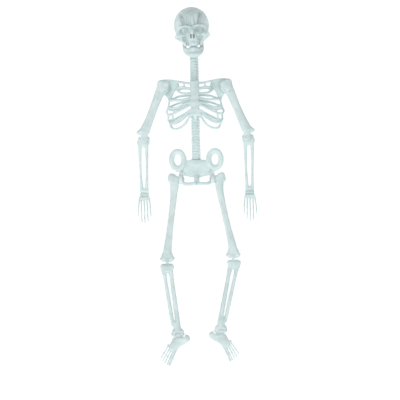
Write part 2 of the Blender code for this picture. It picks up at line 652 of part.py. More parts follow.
def make_shin(name, side, material):
    """Shin bone and calf bone in one moulding, with the knee's tongue and the ankle's fork."""
    kx, kz = KNEE[name]
    ax, az = ANKLE[name]
    pin = kz + KNEE_PIN_UP
    top = (kx + 1.5, 0, kz - 15)
    low = (ax + 5.5, 0, az + 22)
    clay = Clay()
    stroke(clay, mirrored([(kx - 8, 0, kz - 11.5), (kx + 10, 0, kz - 11.5)], side), (8.6, 8.6), 0.95)
    stroke(clay, mirrored([(kx - 5, 0, kz - 18), (kx + 8, 0, kz - 18)], side), (9, 9), 0.85)
    for offset, radii in ((-8.5, (6.5, 5, 6, 6)), (8.5, (6, 4.6, 5, 4.6))):
        bone = [(top[0] + (low[0] - top[0]) * t + offset * (1 - 0.22 * t), 0, top[2] + (low[2] - top[2]) * t)
                for t in (0.06, 0.2, 0.7, 1)]
        stroke(clay, mirrored(bone, side), radii, 0.9)
    stroke(clay, mirrored([(low[0] - 2, 0, low[2] + 2), (ax, 0, az + 8)], side), (9, 10), 0.8)
    stroke(clay, mirrored([(ax - 8, 0, az + 4), (ax + 8, 0, az + 4)], side), (7.5, 7.5), 0.95)
    stroke(clay, mirrored([(ax - 9.5, 0, az - 1), (ax + 9.5, 0, az - 1)], side), (6, 6), 1.1)
    shin = moulding(f"shin_{name}", clay, MIDDLE, 480, material)
    clay = Clay()
    rod(clay, (side * (kx - TONGUE), 0, pin), (side * (kx + TONGUE), 0, pin), 6, sides=16)
    box(clay, (side * kx - TONGUE, -5, kz - 12), (side * kx + TONGUE, 5, pin - 0.5))
    tongue = solid(f"shin_tongue_{name}", clay)
    union = shin.modifiers.new("knee tongue", "BOOLEAN")
    union.operation = "UNION"
    union.object = tongue
    union.use_self = True
    carve_rod(shin, (side * (kx - 30), 0, pin), (side * (kx + 30), 0, pin), LEG_PIN_RADIUS + GAP)
    carve_box(shin, (side * (ax - ANKLE_TONGUE - GAP), -30, az - 2 + ANKLE_KNUCKLE + GAP),
              (side * (ax + ANKLE_TONGUE + GAP), 30, az - 20))
    carve_rod(shin, (side * (ax - 30), 0, az - 2), (side * (ax + 30), 0, az - 2), LEG_PIN_RADIUS + GAP)
    fastener(f"ankle_pin_{name}", (side * (ax - 17), 0, az - 2), (side * (ax + 17), 0, az - 2),
             LEG_PIN_RADIUS, 3, 1.4, METAL, both_ends=True)


# each toe's root and tip, out from the ankle and up from it, and its radius
TOES = (((4, -38), (22, -78), 2.9), ((10.5, -38), (28, -77), 1.8), ((15.5, -36), (33.5, -72), 1.7),
        ((20, -34), (38.5, -67), 1.7), ((24.5, -31), (43.5, -61), 1.7))


def make_foot(name, side, material):
    """Heel, instep and toes, hanging toes down and turned out, with the ankle's tongue."""
    ax, az = ANKLE[name]
    clay = Clay()
    stroke(clay, mirrored([(ax, 0, az - 15), (ax - 10, 1, az - 16)], side), (7, 8))
    ball(clay, (side * (ax - 20.5), 2, az - 13.5), (10.5, 9.5, 10))
    stroke(clay, mirrored([(ax - 17, 1, az - 19), (ax + 1, 0, az - 28)], side), (7.5, 8.5), 0.8)
    stroke(clay, mirrored([(ax + 3, 0, az - 16), (ax + 9, 0, az - 17)], side), (7, 6))
    stroke(clay, mirrored([(ax, 0, az - 17), (ax + 7, -2, az - 28), (ax + 13, -3, az - 36)], side),
           (10, 11.5, 10.5), 0.6)
    for root, tip, radius in TOES:
        start = Vector((ax + root[0], -3, az + root[1]))
        end = Vector((ax + tip[0], -3, az + tip[1]))
        knuckle = start.lerp(end, 0.6) + Vector((0, -1.5, 0))
        stroke(clay, mirrored([start, knuckle, end], side), (radius + 0.3, radius, radius))
    foot = moulding(f"foot_{name}", clay, FINE, 760, material)
    carve_box(foot, (side * (ax - HEEL_INNER), -30, az + 20), (side * (ax + 40), 30, az - 9.5))
    clay = Clay()
    rod(clay, (side * (ax - ANKLE_TONGUE), 0, az - 2), (side * (ax + ANKLE_TONGUE), 0, az - 2),
        ANKLE_KNUCKLE, sides=16)
    box(clay, (side * ax - ANKLE_TONGUE, -4.5, az - 18), (side * ax + ANKLE_TONGUE, 4.5, az - 2.4))
    tongue = solid(f"foot_tongue_{name}", clay)
    union = foot.modifiers.new("ankle tongue", "BOOLEAN")
    union.operation = "UNION"
    union.object = tongue
    union.use_self = True
    carve_rod(foot, (side * (ax - 30), 0, az - 2), (side * (ax + 30), 0, az - 2), LEG_PIN_RADIUS + GAP)


# ---------------------------------------------------------------- pivots

def carry(name, point, pieces, parent=None):
    """An empty on a joint's axis, with a body's pieces and their cutters hung from it."""
    pivot = bpy.data.objects.new(name, None)
    pivot.location = place(*point)
    PARTS.objects.link(pivot)
    if parent:
        pivot.parent = parent
        pivot.matrix_parent_inverse = Matrix.Translation(-parent.location)
    for piece in pieces:
        body = PARTS.objects[piece]
        for item in (body, *(modifier.object for modifier in body.modifiers)):
            item.parent = pivot
            item.matrix_parent_inverse = Matrix.Translation(-pivot.location)
    return pivot


def hang_bodies():
    """The tree of moving bodies, below the skull, which holds the rest up."""
    carry("jaw_pivot", (0, *JAW_PIN), ["jaw"])
    screws = [f"chest_screw_{number}" for number in range(1, len(CHEST_SCREWS) + 1)]
    trunk = carry("neck_pivot", (0, 0, (NECK_TOP + NECK_FLANGE[0]) / 2),
                  ["spine", "rib_cage_front", "rib_cage_back", "pelvis", *screws])
    for name, side in SIDES.items():
        x, z = SHOULDER
        arm = carry(f"shoulder_pivot_{name}", (side * x, BLADE_FRONT, z),
                    [f"upper_arm_front_{name}", f"upper_arm_back_{name}", f"shoulder_rivet_{name}",
                     f"elbow_pin_{name}"], trunk)
        x, z = ELBOW
        carry(f"elbow_pivot_{name}", (side * x, LAP_Y, z), [f"forearm_hand_{name}"], arm)
        thigh = carry(f"hip_pivot_{name}", (side * FLANGE_OUTER, 0, HIP_HEIGHT),
                      [f"thigh_front_{name}", f"thigh_back_{name}", f"hip_peg_{name}", f"knee_pin_{name}"],
                      trunk)
        x, z = KNEE[name]
        shin = carry(f"knee_pivot_{name}", (side * x, 0, z + KNEE_PIN_UP),
                     [f"shin_{name}", f"ankle_pin_{name}"], thigh)
        x, z = ANKLE[name]
        carry(f"ankle_pivot_{name}", (side * x, 0, z - 2), [f"foot_{name}"], shin)


for old in list(bpy.data.objects):
    bpy.data.objects.remove(old)
PARTS = bpy.data.collections.new("hanging_skeleton")
CUTTERS = bpy.data.collections.new("cutters")
BONE = plastic("pale_green_plastic", (0.66, 0.74, 0.73), 0.42)
METAL = plastic("clear_white_pin", (0.75, 0.8, 0.8), 0.35)

make_skull(BONE)
make_hanging_eye(METAL)
make_jaw(BONE)
make_spine(BONE)
make_chest_front(BONE)
make_chest_back(BONE)
make_chest_screws()
make_pelvis(BONE)
for side_name, side_sign in SIDES.items():
    make_upper_arm(side_name, side_sign, BONE)
    make_forearm(side_name, side_sign, BONE)
    make_thigh(side_name, side_sign, BONE)
    make_shin(side_name, side_sign, BONE)
    make_foot(side_name, side_sign, BONE)
hang_bodies()
for group in (PARTS, CUTTERS):
    bpy.context.scene.collection.children.link(group)
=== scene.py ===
"""Looks of the hanging skeleton figure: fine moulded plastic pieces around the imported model.

Shapes are built in millimetres in the figure's own frame: X to its own left, Y backwards from the axis of
the spine, heights up from the crown. A Mould holds a shape as a field of distances and is then skinned.
"""
import itertools
import json
import math

import bpy
import numpy as np
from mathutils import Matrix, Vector


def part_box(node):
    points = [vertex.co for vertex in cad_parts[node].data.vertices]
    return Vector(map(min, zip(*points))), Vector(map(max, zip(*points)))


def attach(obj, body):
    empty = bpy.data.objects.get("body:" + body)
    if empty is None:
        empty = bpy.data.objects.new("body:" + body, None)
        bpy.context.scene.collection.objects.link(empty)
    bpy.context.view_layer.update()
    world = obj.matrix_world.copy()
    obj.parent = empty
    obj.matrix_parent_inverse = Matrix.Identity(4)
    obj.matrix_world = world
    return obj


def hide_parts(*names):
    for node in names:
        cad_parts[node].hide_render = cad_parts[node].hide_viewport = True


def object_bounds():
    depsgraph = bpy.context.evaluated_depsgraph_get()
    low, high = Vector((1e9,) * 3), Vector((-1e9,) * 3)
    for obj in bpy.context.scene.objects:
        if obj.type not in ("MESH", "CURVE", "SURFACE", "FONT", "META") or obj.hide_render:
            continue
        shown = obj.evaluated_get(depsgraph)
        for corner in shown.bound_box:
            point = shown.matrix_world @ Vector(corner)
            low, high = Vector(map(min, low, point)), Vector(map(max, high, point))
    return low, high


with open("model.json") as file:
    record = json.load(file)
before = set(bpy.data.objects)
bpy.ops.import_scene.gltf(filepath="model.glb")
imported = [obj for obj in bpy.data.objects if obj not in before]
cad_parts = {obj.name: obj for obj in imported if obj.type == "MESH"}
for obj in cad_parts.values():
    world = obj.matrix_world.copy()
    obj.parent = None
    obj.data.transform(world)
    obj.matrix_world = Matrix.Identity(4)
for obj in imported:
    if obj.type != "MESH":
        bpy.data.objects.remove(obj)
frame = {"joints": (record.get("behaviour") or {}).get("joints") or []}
CAD_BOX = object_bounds()

MM = 0.001
FAR = 60.0  # a distance well outside any shape, mm
SIDES = {"left": 1, "right": -1}

# ---------------------------------------------------------------- the figure's frame

JOINTS = {joint["name"]: joint for joint in frame["joints"]}
SPINE_LOW, SPINE_HIGH = (Vector(corner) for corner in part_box("spine"))
COLUMN_AXIS = (SPINE_LOW + SPINE_HIGH) / 2
NECK_PEG_TOP = -74.0
THROAT = -120.0  # height that the head leans about
ORIGIN = np.array([COLUMN_AXIS.x, COLUMN_AXIS.y, SPINE_HIGH.z - NECK_PEG_TOP * MM])


def to_row(points, tilt=0.0):
    """Figure millimetres to the frame's metres, leant sideways about the throat for the head's pieces."""
    points = np.asarray(points, dtype=float)
    if tilt:
        up = points[:, 2] - THROAT
        across = points[:, 0] * math.cos(tilt) + up * math.sin(tilt)
        height = THROAT - points[:, 0] * math.sin(tilt) + up * math.cos(tilt)
        points = np.stack((across, points[:, 1], height), 1)
    return points * MM + ORIGIN


def from_row(point):
    """The frame's metres to figure millimetres."""
    return (np.asarray(point) - ORIGIN) / MM


def joint_at(name):
    return from_row(JOINTS[name]["pos_m"])


SHOULDER = np.abs(joint_at("shoulder_left"))
SHOULDER[2] *= -1
ELBOW = np.abs(joint_at("elbow_left"))
ELBOW[2] *= -1


# ---------------------------------------------------------------- distance fields

def smooth_min(a, b, blend):
    if blend <= 0:
        return np.minimum(a, b)
    share = np.clip(blend - np.abs(a - b), 0, None) / blend
    return np.minimum(a, b) - share * share * blend / 4


class Mould:
    """A block of space in which a shape is added and cut as distances, then skinned."""

    def __init__(self, low, high, cell):
        self.low = np.array(low, dtype=float)
        self.cell = cell
        count = np.ceil((np.array(high) - self.low) / cell).astype(int) + 1
        self.field = np.full(count, FAR, dtype=np.float32)
        self.axes = [self.low[i] + cell * np.arange(count[i]) for i in range(3)]

    def window(self, low, high, margin):
        """The part of the block around a shape, and its coordinates."""
        cuts = []
        for axis, (a, b) in enumerate(zip(low, high)):
            first = np.searchsorted(self.axes[axis], a - margin)
            last = np.searchsorted(self.axes[axis], b + margin)
            cuts.append(slice(max(0, first), max(0, last)))
        x, y, z = (self.axes[i][cuts[i]].astype(np.float32) for i in range(3))
        return tuple(cuts), x[:, None, None], y[None, :, None], z[None, None, :]

    def add(self, distance, low, high, blend=0.0):
        cuts, x, y, z = self.window(low, high, blend + 3 * self.cell)
        if min(self.field[cuts].shape):
            self.field[cuts] = smooth_min(self.field[cuts], distance(x, y, z), blend)

    def cut(self, distance, low, high, blend=0.0):
        cuts, x, y, z = self.window(low, high, blend + 3 * self.cell)
        if min(self.field[cuts].shape):
            self.field[cuts] = -smooth_min(-self.field[cuts], distance(x, y, z), blend)

    # shapes; each takes whether it is added or cut

    def ball(self, centre, radii, blend=0.0, carve=False):
        radii = np.full(3, radii) if np.isscalar(radii) else np.array(radii, dtype=float)
        centre = np.array(centre, dtype=float)

        def distance(x, y, z):
            p = (x - centre[0], y - centre[1], z - centre[2])
            near = np.sqrt(sum((q / r) ** 2 for q, r in zip(p, radii)))
            steep = np.sqrt(sum((q / r ** 2) ** 2 for q, r in zip(p, radii)))
            return near * (near - 1) / np.maximum(steep, 1e-6)

        (self.cut if carve else self.add)(distance, centre - radii, centre + radii, blend)

    def bar(self, start, end, start_radius, end_radius=None, blend=0.0, depth=1.0, carve=False, flat=False):
        """A tapered bar; depth squeezes its section along Y, flat gives it square ends."""
        start, end = np.array(start, dtype=float), np.array(end, dtype=float)
        end_radius = start_radius if end_radius is None else end_radius
        along = end - start
        length = max(float(along @ along), 1e-9)

        def distance(x, y, z):
            px, py, pz = x - start[0], y - start[1], z - start[2]
            share = (px * along[0] + py * along[1] + pz * along[2]) / length
            held = np.clip(share, 0, 1)
            dx, dy, dz = px - held * along[0], (py - held * along[1]) / depth, pz - held * along[2]
            radius = start_radius + (end_radius - start_radius) * held
            round_bar = (np.sqrt(dx * dx + dy * dy + dz * dz) - radius) * min(1.0, depth ** 0.5)
            if not flat:
                return round_bar
            return np.maximum(round_bar, (np.abs(share - 0.5) - 0.5) * math.sqrt(length))

        reach = max(start_radius, end_radius) * max(1.0, depth)
        low, high = np.minimum(start, end) - reach, np.maximum(start, end) + reach
        (self.cut if carve else self.add)(distance, low, high, blend)

    def stroke(self, points, radii, blend=0.0, depth=1.0, carve=False):
        """A chain of tapered bars through the points."""
        radii = [radii] * len(points) if np.isscalar(radii) else radii
        for i in range(len(points) - 1):
            self.bar(points[i], points[i + 1], radii[i], radii[i + 1], blend, depth, carve)

    def block(self, low, high, rounding=0.5, blend=0.0, carve=False):
        low, high = np.minimum(low, high).astype(float), np.maximum(low, high).astype(float)
        centre, half = (low + high) / 2, (high - low) / 2

        def distance(x, y, z):
            q = [np.abs(v - c) - (h - rounding) for v, c, h in zip((x, y, z), centre, half)]
            outside = np.sqrt(sum(np.clip(v, 0, None) ** 2 for v in q))
            return outside + np.minimum(np.maximum(np.maximum(q[0], q[1]), q[2]), 0) - rounding

        (self.cut if carve else self.add)(distance, low, high, blend)

    def copy(self):
        twin = Mould.__new__(Mould)
        twin.low, twin.cell, twin.axes = self.low, self.cell, self.axes
        twin.field = self.field.copy()
        return twin

    def skin(self, name, side=1, tilt=0.0):
        """The surface where the distance is zero, as a mesh object; side -1 mirrors it to the other side."""
        points, quads = surface_nets(self.field)
        points = self.low + self.cell * points
        if side < 0:
            points[:, 0] *= -1
            quads = quads[:, ::-1]
        points = to_row(points, tilt)
        mesh = bpy.data.meshes.new(name)
        mesh.from_pydata(points.tolist(), [], quads.tolist())
        mesh.shade_smooth()
        piece = bpy.data.objects.new(name, mesh)
        bpy.context.scene.collection.objects.link(piece)
        return piece


def surface_nets(field):
    """One point in each cell that the surface crosses, and a quad over each grid edge that it crosses."""
    field = np.where(np.abs(field) < 1e-4, np.float32(1e-4), field)
    inside = field < 0
    size = np.array(field.shape)
    spans = [[slice(0, n - 1), slice(1, n)] for n in size]
    total = sum(inside[spans[0][i], spans[1][j], spans[2][k]].astype(np.int8)
                for i, j, k in itertools.product((0, 1), repeat=3))
    active = (total > 0) & (total < 8)
    index = np.full(active.shape, -1, dtype=np.int64)
    index[active] = np.arange(int(active.sum()))
    cells = np.argwhere(active)
    sums, hits = np.zeros(cells.shape), np.zeros(len(cells))
    for axis in range(3):
        step = np.eye(3, dtype=int)[axis]
        others = [i for i in range(3) if i != axis]
        for i, j in itertools.product((0, 1), repeat=2):
            start = cells.copy()
            start[:, others[0]] += i
            start[:, others[1]] += j
            a = field[tuple(start.T)]
            b = field[tuple((start + step).T)]
            crossed = (a < 0) != (b < 0)
            share = a[crossed] / (a[crossed] - b[crossed])
            sums[crossed] += start[crossed] + share[:, None] * step
            hits[crossed] += 1
    points = sums / hits[:, None]
    quads = []
    for axis in range(3):
        u, v = np.eye(3, dtype=int)[(axis + 1) % 3], np.eye(3, dtype=int)[(axis + 2) % 3]
        here, there = [slice(None)] * 3, [slice(None)] * 3
        here[axis], there[axis] = slice(0, size[axis] - 1), slice(1, size[axis])
        crossed = np.argwhere(inside[tuple(here)] != inside[tuple(there)])
        fits = ((crossed @ (u + v) > 0) & (crossed @ u > 0) & (crossed @ v > 0)
                & (crossed @ u < size @ u - 1) & (crossed @ v < size @ v - 1))
        crossed = crossed[fits]
        ring = np.stack([index[tuple(c.T)] for c in (crossed, crossed - u, crossed - u - v, crossed - v)], 1)
        out = inside[tuple(crossed.T)]
        quads.append(ring[~out][:, ::-1])
        quads.append(ring[out])
    return points, np.concatenate(quads)


def smooth_path(points, steps=3):
    """Points along a smooth curve through the given ones."""
    knots = [np.array(p, dtype=float) for p in points]
    knots = [2 * knots[0] - knots[1], *knots, 2 * knots[-1] - knots[-2]]
    path = []
    for a, b, c, d in zip(knots, knots[1:], knots[2:], knots[3:]):
        for step in range(steps):
            t = step / steps
            path.append(0.5 * (2 * b + (c - a) * t + (2 * a - 5 * b + 4 * c - d) * t ** 2
                               + (3 * b - a - 3 * c + d) * t ** 3))
    return [*path, knots[-2]]


def mirrored(points, side):
    return [(side * x, y, z) for x, y, z in points]


# ---------------------------------------------------------------- plastic

def node(tree, kind, **values):
    """A shader node with some of its inputs or properties set."""
    made = tree.nodes.new(kind)
    for key, value in values.items():
        if key in made.inputs:
            made.inputs[key].default_value = value
        else:
            setattr(made, key, value)
    return made


def glow_plastic(name, light, shade, seed, painted_shade_reach=0.008, painted_shade_tone=0.82):
    """Pale, slightly see-into plastic: cloudy colour, painted shade that darkens hollows and gaps, fine grain
    and flow marks.
    """
    material = bpy.data.materials.new(name)
    material.use_nodes = True
    tree = material.node_tree
    shader = tree.nodes["Principled BSDF"]
    place = node(tree, "ShaderNodeTexCoord")
    shift = node(tree, "ShaderNodeMapping", Location=(seed, seed * 0.37, seed * 0.61))
    tree.links.new(place.outputs["Object"], shift.inputs["Vector"])

    cloud = node(tree, "ShaderNodeTexNoise", Scale=34.0, Detail=4.0, Roughness=0.55, Distortion=0.4)
    tree.links.new(shift.outputs["Vector"], cloud.inputs["Vector"])
    cloudy = node(tree, "ShaderNodeValToRGB")
    cloudy.color_ramp.elements[0].position = 0.36
    cloudy.color_ramp.elements[0].color = (*shade, 1)
    cloudy.color_ramp.elements[1].position = 0.62
    cloudy.color_ramp.elements[1].color = (*light, 1)
    tree.links.new(cloud.outputs["Fac"], cloudy.inputs["Fac"])

    # painted shade: ambient occlusion darkens the cloudy colour in hollows, creases and between parts, down
    # to the given tone
    hollow = node(tree, "ShaderNodeAmbientOcclusion", Distance=painted_shade_reach)
    hollow.samples = 6
    painted_shade_factor = node(tree, "ShaderNodeMapRange")
    painted_shade_factor.inputs["From Min"].default_value = 0.25
    painted_shade_factor.inputs["From Max"].default_value = 0.95
    painted_shade_factor.inputs["To Min"].default_value = painted_shade_tone
    painted_shade_factor.inputs["To Max"].default_value = 1.0
    tree.links.new(hollow.outputs["AO"], painted_shade_factor.inputs["Value"])
    tint = node(tree, "ShaderNodeMix", data_type="RGBA", blend_type="MULTIPLY")
    tint.inputs["Factor"].default_value = 1.0
    tree.links.new(cloudy.outputs["Color"], tint.inputs[6])
    tree.links.new(painted_shade_factor.outputs["Result"], tint.inputs[7])
    tree.links.new(tint.outputs[2], shader.inputs["Base Color"])

    grain = node(tree, "ShaderNodeTexNoise", Scale=900.0, Detail=3.0, Roughness=0.6)
    tree.links.new(shift.outputs["Vector"], grain.inputs["Vector"])
    flow = node(tree, "ShaderNodeTexNoise", Scale=120.0, Detail=3.0, Roughness=0.5, Distortion=1.2)
    tree.links.new(shift.outputs["Vector"], flow.inputs["Vector"])
    both = node(tree, "ShaderNodeMath", operation="MULTIPLY_ADD")
    both.inputs[1].default_value = 0.35
    tree.links.new(grain.outputs["Fac"], both.inputs[0])
    tree.links.new(flow.outputs["Fac"], both.inputs[2])
    bump = node(tree, "ShaderNodeBump", Strength=0.35, Distance=0.0004)
    tree.links.new(both.outputs["Value"], bump.inputs["Height"])
    tree.links.new(bump.outputs["Normal"], shader.inputs["Normal"])

    dull = node(tree, "ShaderNodeMapRange")
    dull.inputs["To Min"].default_value = 0.36
    dull.inputs["To Max"].default_value = 0.52
    tree.links.new(flow.outputs["Fac"], dull.inputs["Value"])
    tree.links.new(dull.outputs["Result"], shader.inputs["Roughness"])

    shader.inputs["Subsurface Weight"].default_value = 0.25
    shader.inputs["Subsurface Radius"].default_value = (0.8, 1.0, 0.95)
    shader.inputs["Subsurface Scale"].default_value = 0.004
    shader.inputs["IOR"].default_value = 1.46
    shader.inputs["Specular IOR Level"].default_value = 0.4
    return material


BONE = glow_plastic("bone_plastic", (0.76, 0.885, 0.885), (0.665, 0.79, 0.79), 0.0)
# painted shade: the skull's copy of the plastic is darker, with wider and deeper darkening in its hollows,
# standing in for shade over the head
SKULL_PAINTED_SHADE = glow_plastic("skull_plastic_painted_shade", (0.76, 0.885, 0.885), (0.64, 0.77, 0.77), 1.5, 0.018, 0.58)
PIN = glow_plastic("pin_plastic", (0.78, 0.895, 0.895), (0.70, 0.82, 0.82), 3.0)


def steel():
    """Plated screw steel with turning marks."""
    material = bpy.data.materials.new("screw_steel")
    material.use_nodes = True
    tree = material.node_tree
    shader = tree.nodes["Principled BSDF"]
    shader.inputs["Metallic"].default_value = 1.0
    place = node(tree, "ShaderNodeTexCoord")
    marks = node(tree, "ShaderNodeTexNoise", Scale=1500.0, Detail=2.0)
    tree.links.new(place.outputs["Object"], marks.inputs["Vector"])
    tone = node(tree, "ShaderNodeValToRGB")
    tone.color_ramp.elements[0].color = (0.50, 0.51, 0.52, 1)
    tone.color_ramp.elements[1].color = (0.66, 0.67, 0.68, 1)
    tree.links.new(marks.outputs["Fac"], tone.inputs["Fac"])
    tree.links.new(tone.outputs["Color"], shader.inputs["Base Color"])
    rough = node(tree, "ShaderNodeMapRange")
    rough.inputs["To Min"].default_value = 0.25
    rough.inputs["To Max"].default_value = 0.45
    tree.links.new(marks.outputs["Fac"], rough.inputs["Value"])
    tree.links.new(rough.outputs["Result"], shader.inputs["Roughness"])
    return material


STEEL = steel()


def finish_piece(piece, body, replaced, material=None, relax=1):
    """Softens the skin a little, dresses it and hangs it on its body."""
    piece.data.materials.append(material or BONE)
    if relax:
        soften = piece.modifiers.new("soften", "SMOOTH")
        soften.factor = 0.5
        soften.iterations = relax
    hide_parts(replaced)
    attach(piece, body)


PARTING = 0.15  # half the seam between two shells


def halves(mould, y, side, body, front_node, back_node):
    """Parts a mould at a plane across Y and finishes its two shells."""
    back = mould.copy()
    mould.block((-FAR * 4, y - PARTING, -1000), (FAR * 4, FAR, 10), 0, 0.7, carve=True)
    back.block((-FAR * 4, -FAR * 2, -1000), (FAR * 4, y + PARTING, 10), 0, 0.7, carve=True)
    finish_piece(mould.skin(front_node + "_shell", side), body, front_node)
    finish_piece(back.skin(back_node + "_shell", side), body, back_node)


def turned_pin(name, body, node_name, start, end, radius, head_radius, head_length, both=False,
               material=None, tilt=0.0):
    """A pin with a domed head over its start, and over its end too if both."""
    start, end = np.array(start, dtype=float), np.array(end, dtype=float)
    length = float(np.linalg.norm(end - start))
    dome = [(head_length * (1 - math.cos(turn)), head_radius * math.sin(turn))
            for turn in np.linspace(0, math.pi / 2, 7)]
    profile = dome + [(head_length, radius + 0.3), (head_length + 0.3, radius)]
    if both:
        profile += [(length - along, across) for along, across in reversed(profile)]
    else:
        profile += [(length - 0.5, radius), (length, radius - 0.5), (length, 0)]
    axis = (end - start) / length
    other = np.cross(axis, (0, 0, 1) if abs(axis[2]) < 0.9 else (1, 0, 0))
    other /= np.linalg.norm(other)
    third = np.cross(axis, other)
    sides = 28
    points, faces = [start], []
    rings = [(along, across) for along, across in profile if across > 1e-6]
    for along, across in rings:
        for step in range(sides):
            turn = math.tau * step / sides
            points.append(start + axis * along + across * (math.cos(turn) * other + math.sin(turn) * third))
    points.append(end)
    for step in range(sides):
        after = (step + 1) % sides
        faces.append((0, 1 + after, 1 + step))
        for ring in range(len(rings) - 1):
            low = 1 + ring * sides
            faces.append((low + step, low + after, low + sides + after, low + sides + step))
        last = 1 + (len(rings) - 1) * sides
        faces.append((last + step, last + after, len(points) - 1))
    mesh = bpy.data.meshes.new(name)
    mesh.from_pydata(to_row(points, tilt).tolist(), [], faces)
    mesh.shade_smooth()
    mesh.set_sharp_from_angle(angle=math.radians(50))
    piece = bpy.data.objects.new(name, mesh)
    bpy.context.scene.collection.objects.link(piece)
    finish_piece(piece, body, node_name, material or PIN, relax=0)
    return piece


# ---------------------------------------------------------------- head

HEAD_CELL = 0.9
JAW_PIN = (0, -14, -80)
JAW_AXIS = JOINTS["jaw_hinge"]["axis"]
HEAD_TILT = -math.atan2(JAW_AXIS[2], JAW_AXIS[0])
JAW_PIN_HOLE = 1.9
RAMUS_X = 22.0
BASE_HALF = 17.5  # half width of the skull's base, between the jaw's upright branches
CRANIUM = ((0, -4, -46), (44, 53, 46))  # centre and half sizes
EYE_BACK, EYE_HEIGHT = 34, -6.8  # middle of the hanging eye
EYE_RADIUS, EYE_WIRE = 5, 1.0
FURROWS = ((10.5, 9.5, -24, -48, 4.2), (26, 19.5, -17, -45, 7.0))  # across at top and foot, heights, width
UPPER_TOOTH, LOWER_TOOTH = 3.9, 3.5  # widths
UPPER_DROPS = (1.2, 0.2, 0.9, 0, 0.3, 1.6, 0.4, 1.1)  # how unevenly the teeth end
LOWER_RISES = (0.4, 1.0, 0.2, 0.6, 0.9, 0.1, 0.8, 0.3)


def skull_outside():
    """Cranium, brow, cheeks, nose and upper jaw, before it is parted and hollowed."""
    head = Mould((-50, -70, -104), (50, 54, 3), HEAD_CELL)
    head.ball(*CRANIUM)
    head.ball((0, 0, -72), (41, 30, 21), 6)
    head.ball((0, -27, -70), (32, 28, 29), 6)
    head.ball((0, -36, -86), (24, 20, 12.5), 5)
    head.block((-BASE_HALF, -30, -91), (BASE_HALF, 4, -70), 4, 3)
    for side in (1, -1):
        # brow ridges, the frames of the eyes, cheek bones and their arches to the ears
        head.stroke(mirrored(smooth_path([(4, -56, -54), (14, -56.5, -51), (27, -48.5, -51.5), (33, -42, -58),
                                          (33.5, -39, -67)]), side), 2.4, 5)
        head.stroke(mirrored([(34, -38, -66), (30, -46, -73), (20, -51, -76)], side), (5, 6, 4), 5)
        head.stroke(mirrored([(34, -36, -70), (40, -18, -73), (39, -2, -71)], side), (4.5, 4, 3.6), 3)
        head.ball((side * 40, -1, -74), (4.2, 6, 5.5), 3)
        head.ball((side * 24, -34, -82), (8, 12, 10), 4)
        head.stroke(mirrored([(26, -42, -77), (21, -45, -90)], side), (5, 4.5), 5)
    # bridge and wings of the nose
    head.stroke([(0, -57, -56), (0, -61, -64), (0, -62.5, -70)], (5.2, 4.6, 3.4), 3.5)
    for side in (1, -1):
        head.stroke(mirrored([(3, -60, -68), (7, -57, -74), (7.5, -55, -81), (3, -56, -84)], side),
                    (2, 2, 2.2, 2), 2.5)
    head.ball((0, -45, -90), (18, 11.5, 8), 3)
    gum = [(-19, -44, -95.6), (-11, -52.5, -95.6), (0, -55.5, -95.6), (11, -52.5, -95.6), (19, -44, -95.6)]
    head.stroke(gum, 4.3, 4)
    return head


def carve_face(head):
    for side in (1, -1):
        # temples
        head.ball((side * 47, -30, -50), (11, 20, 17), 7, carve=True)
        # closed eye hollows, deepest above and beside the nose
        head.ball((side * 17.5, -58.5, -61), (9.8, 12.5, 7.8), 2.5, carve=True)
        head.ball((side * 13.5, -55, -59), (5, 7, 4.2), 2.5, carve=True)
        # hollows under the cheek bones
        head.ball((side * 20, -55, -82.5), (7.5, 10, 7.5), 3, carve=True)
        # nostrils
        head.ball((side * 3.9, -62.5, -76), (1.8, 7, 6), 0.8, carve=True)
        # fan of furrows over the brow
        for x, low_x, top, low, width in FURROWS:
            surface = [on_forehead(side * x, top), on_forehead(side * (x + low_x) / 2, (top + low) / 2),
                       on_forehead(side * low_x, low)]
            head.stroke(surface, (width * 0.6, width, width * 0.7), 1.6, carve=True)
    middle = [on_forehead(0, z) for z in (-30, -42, -52)]
    head.stroke(middle, (1.6, 2.6, 2.0), 3, carve=True)
    # the wall between the nostrils
    head.stroke([(0, -60.5, -68), (0, -59.5, -76), (0, -57, -84)], (2.2, 1.7, 2.2), 0.8)


def on_forehead(x, z):
    """A point just proud of the front of the cranium."""
    centre, radii = CRANIUM
    share = 1 - (x / radii[0]) ** 2 - ((z - centre[2]) / radii[2]) ** 2
    return (x, centre[1] - radii[1] * math.sqrt(max(share, 0.02)) - 1.2, z)


def carve_teeth(head, rows, low, high, count, spread):
    """Grooves between teeth along a curved row."""
    for i in range(count + 1):
        x = spread * (2 * i / count - 1)
        y = rows(x)
        lean = 0.06 * x
        head.bar((x, y - 4, low), (x + lean, y - 4, high), 0.75, 0.55, 0.8, depth=6.0, carve=True)


def leant_back(z):
    """A point on the spine's upright axis, as the head's own frame sees it."""
    up = z - THROAT
    return (-up * math.sin(HEAD_TILT), 0, THROAT + up * math.cos(HEAD_TILT))


def upper_row(x):
    return -58.5 + 0.042 * x * x


def lower_row(x):
    return -54.5 + 0.05 * x * x


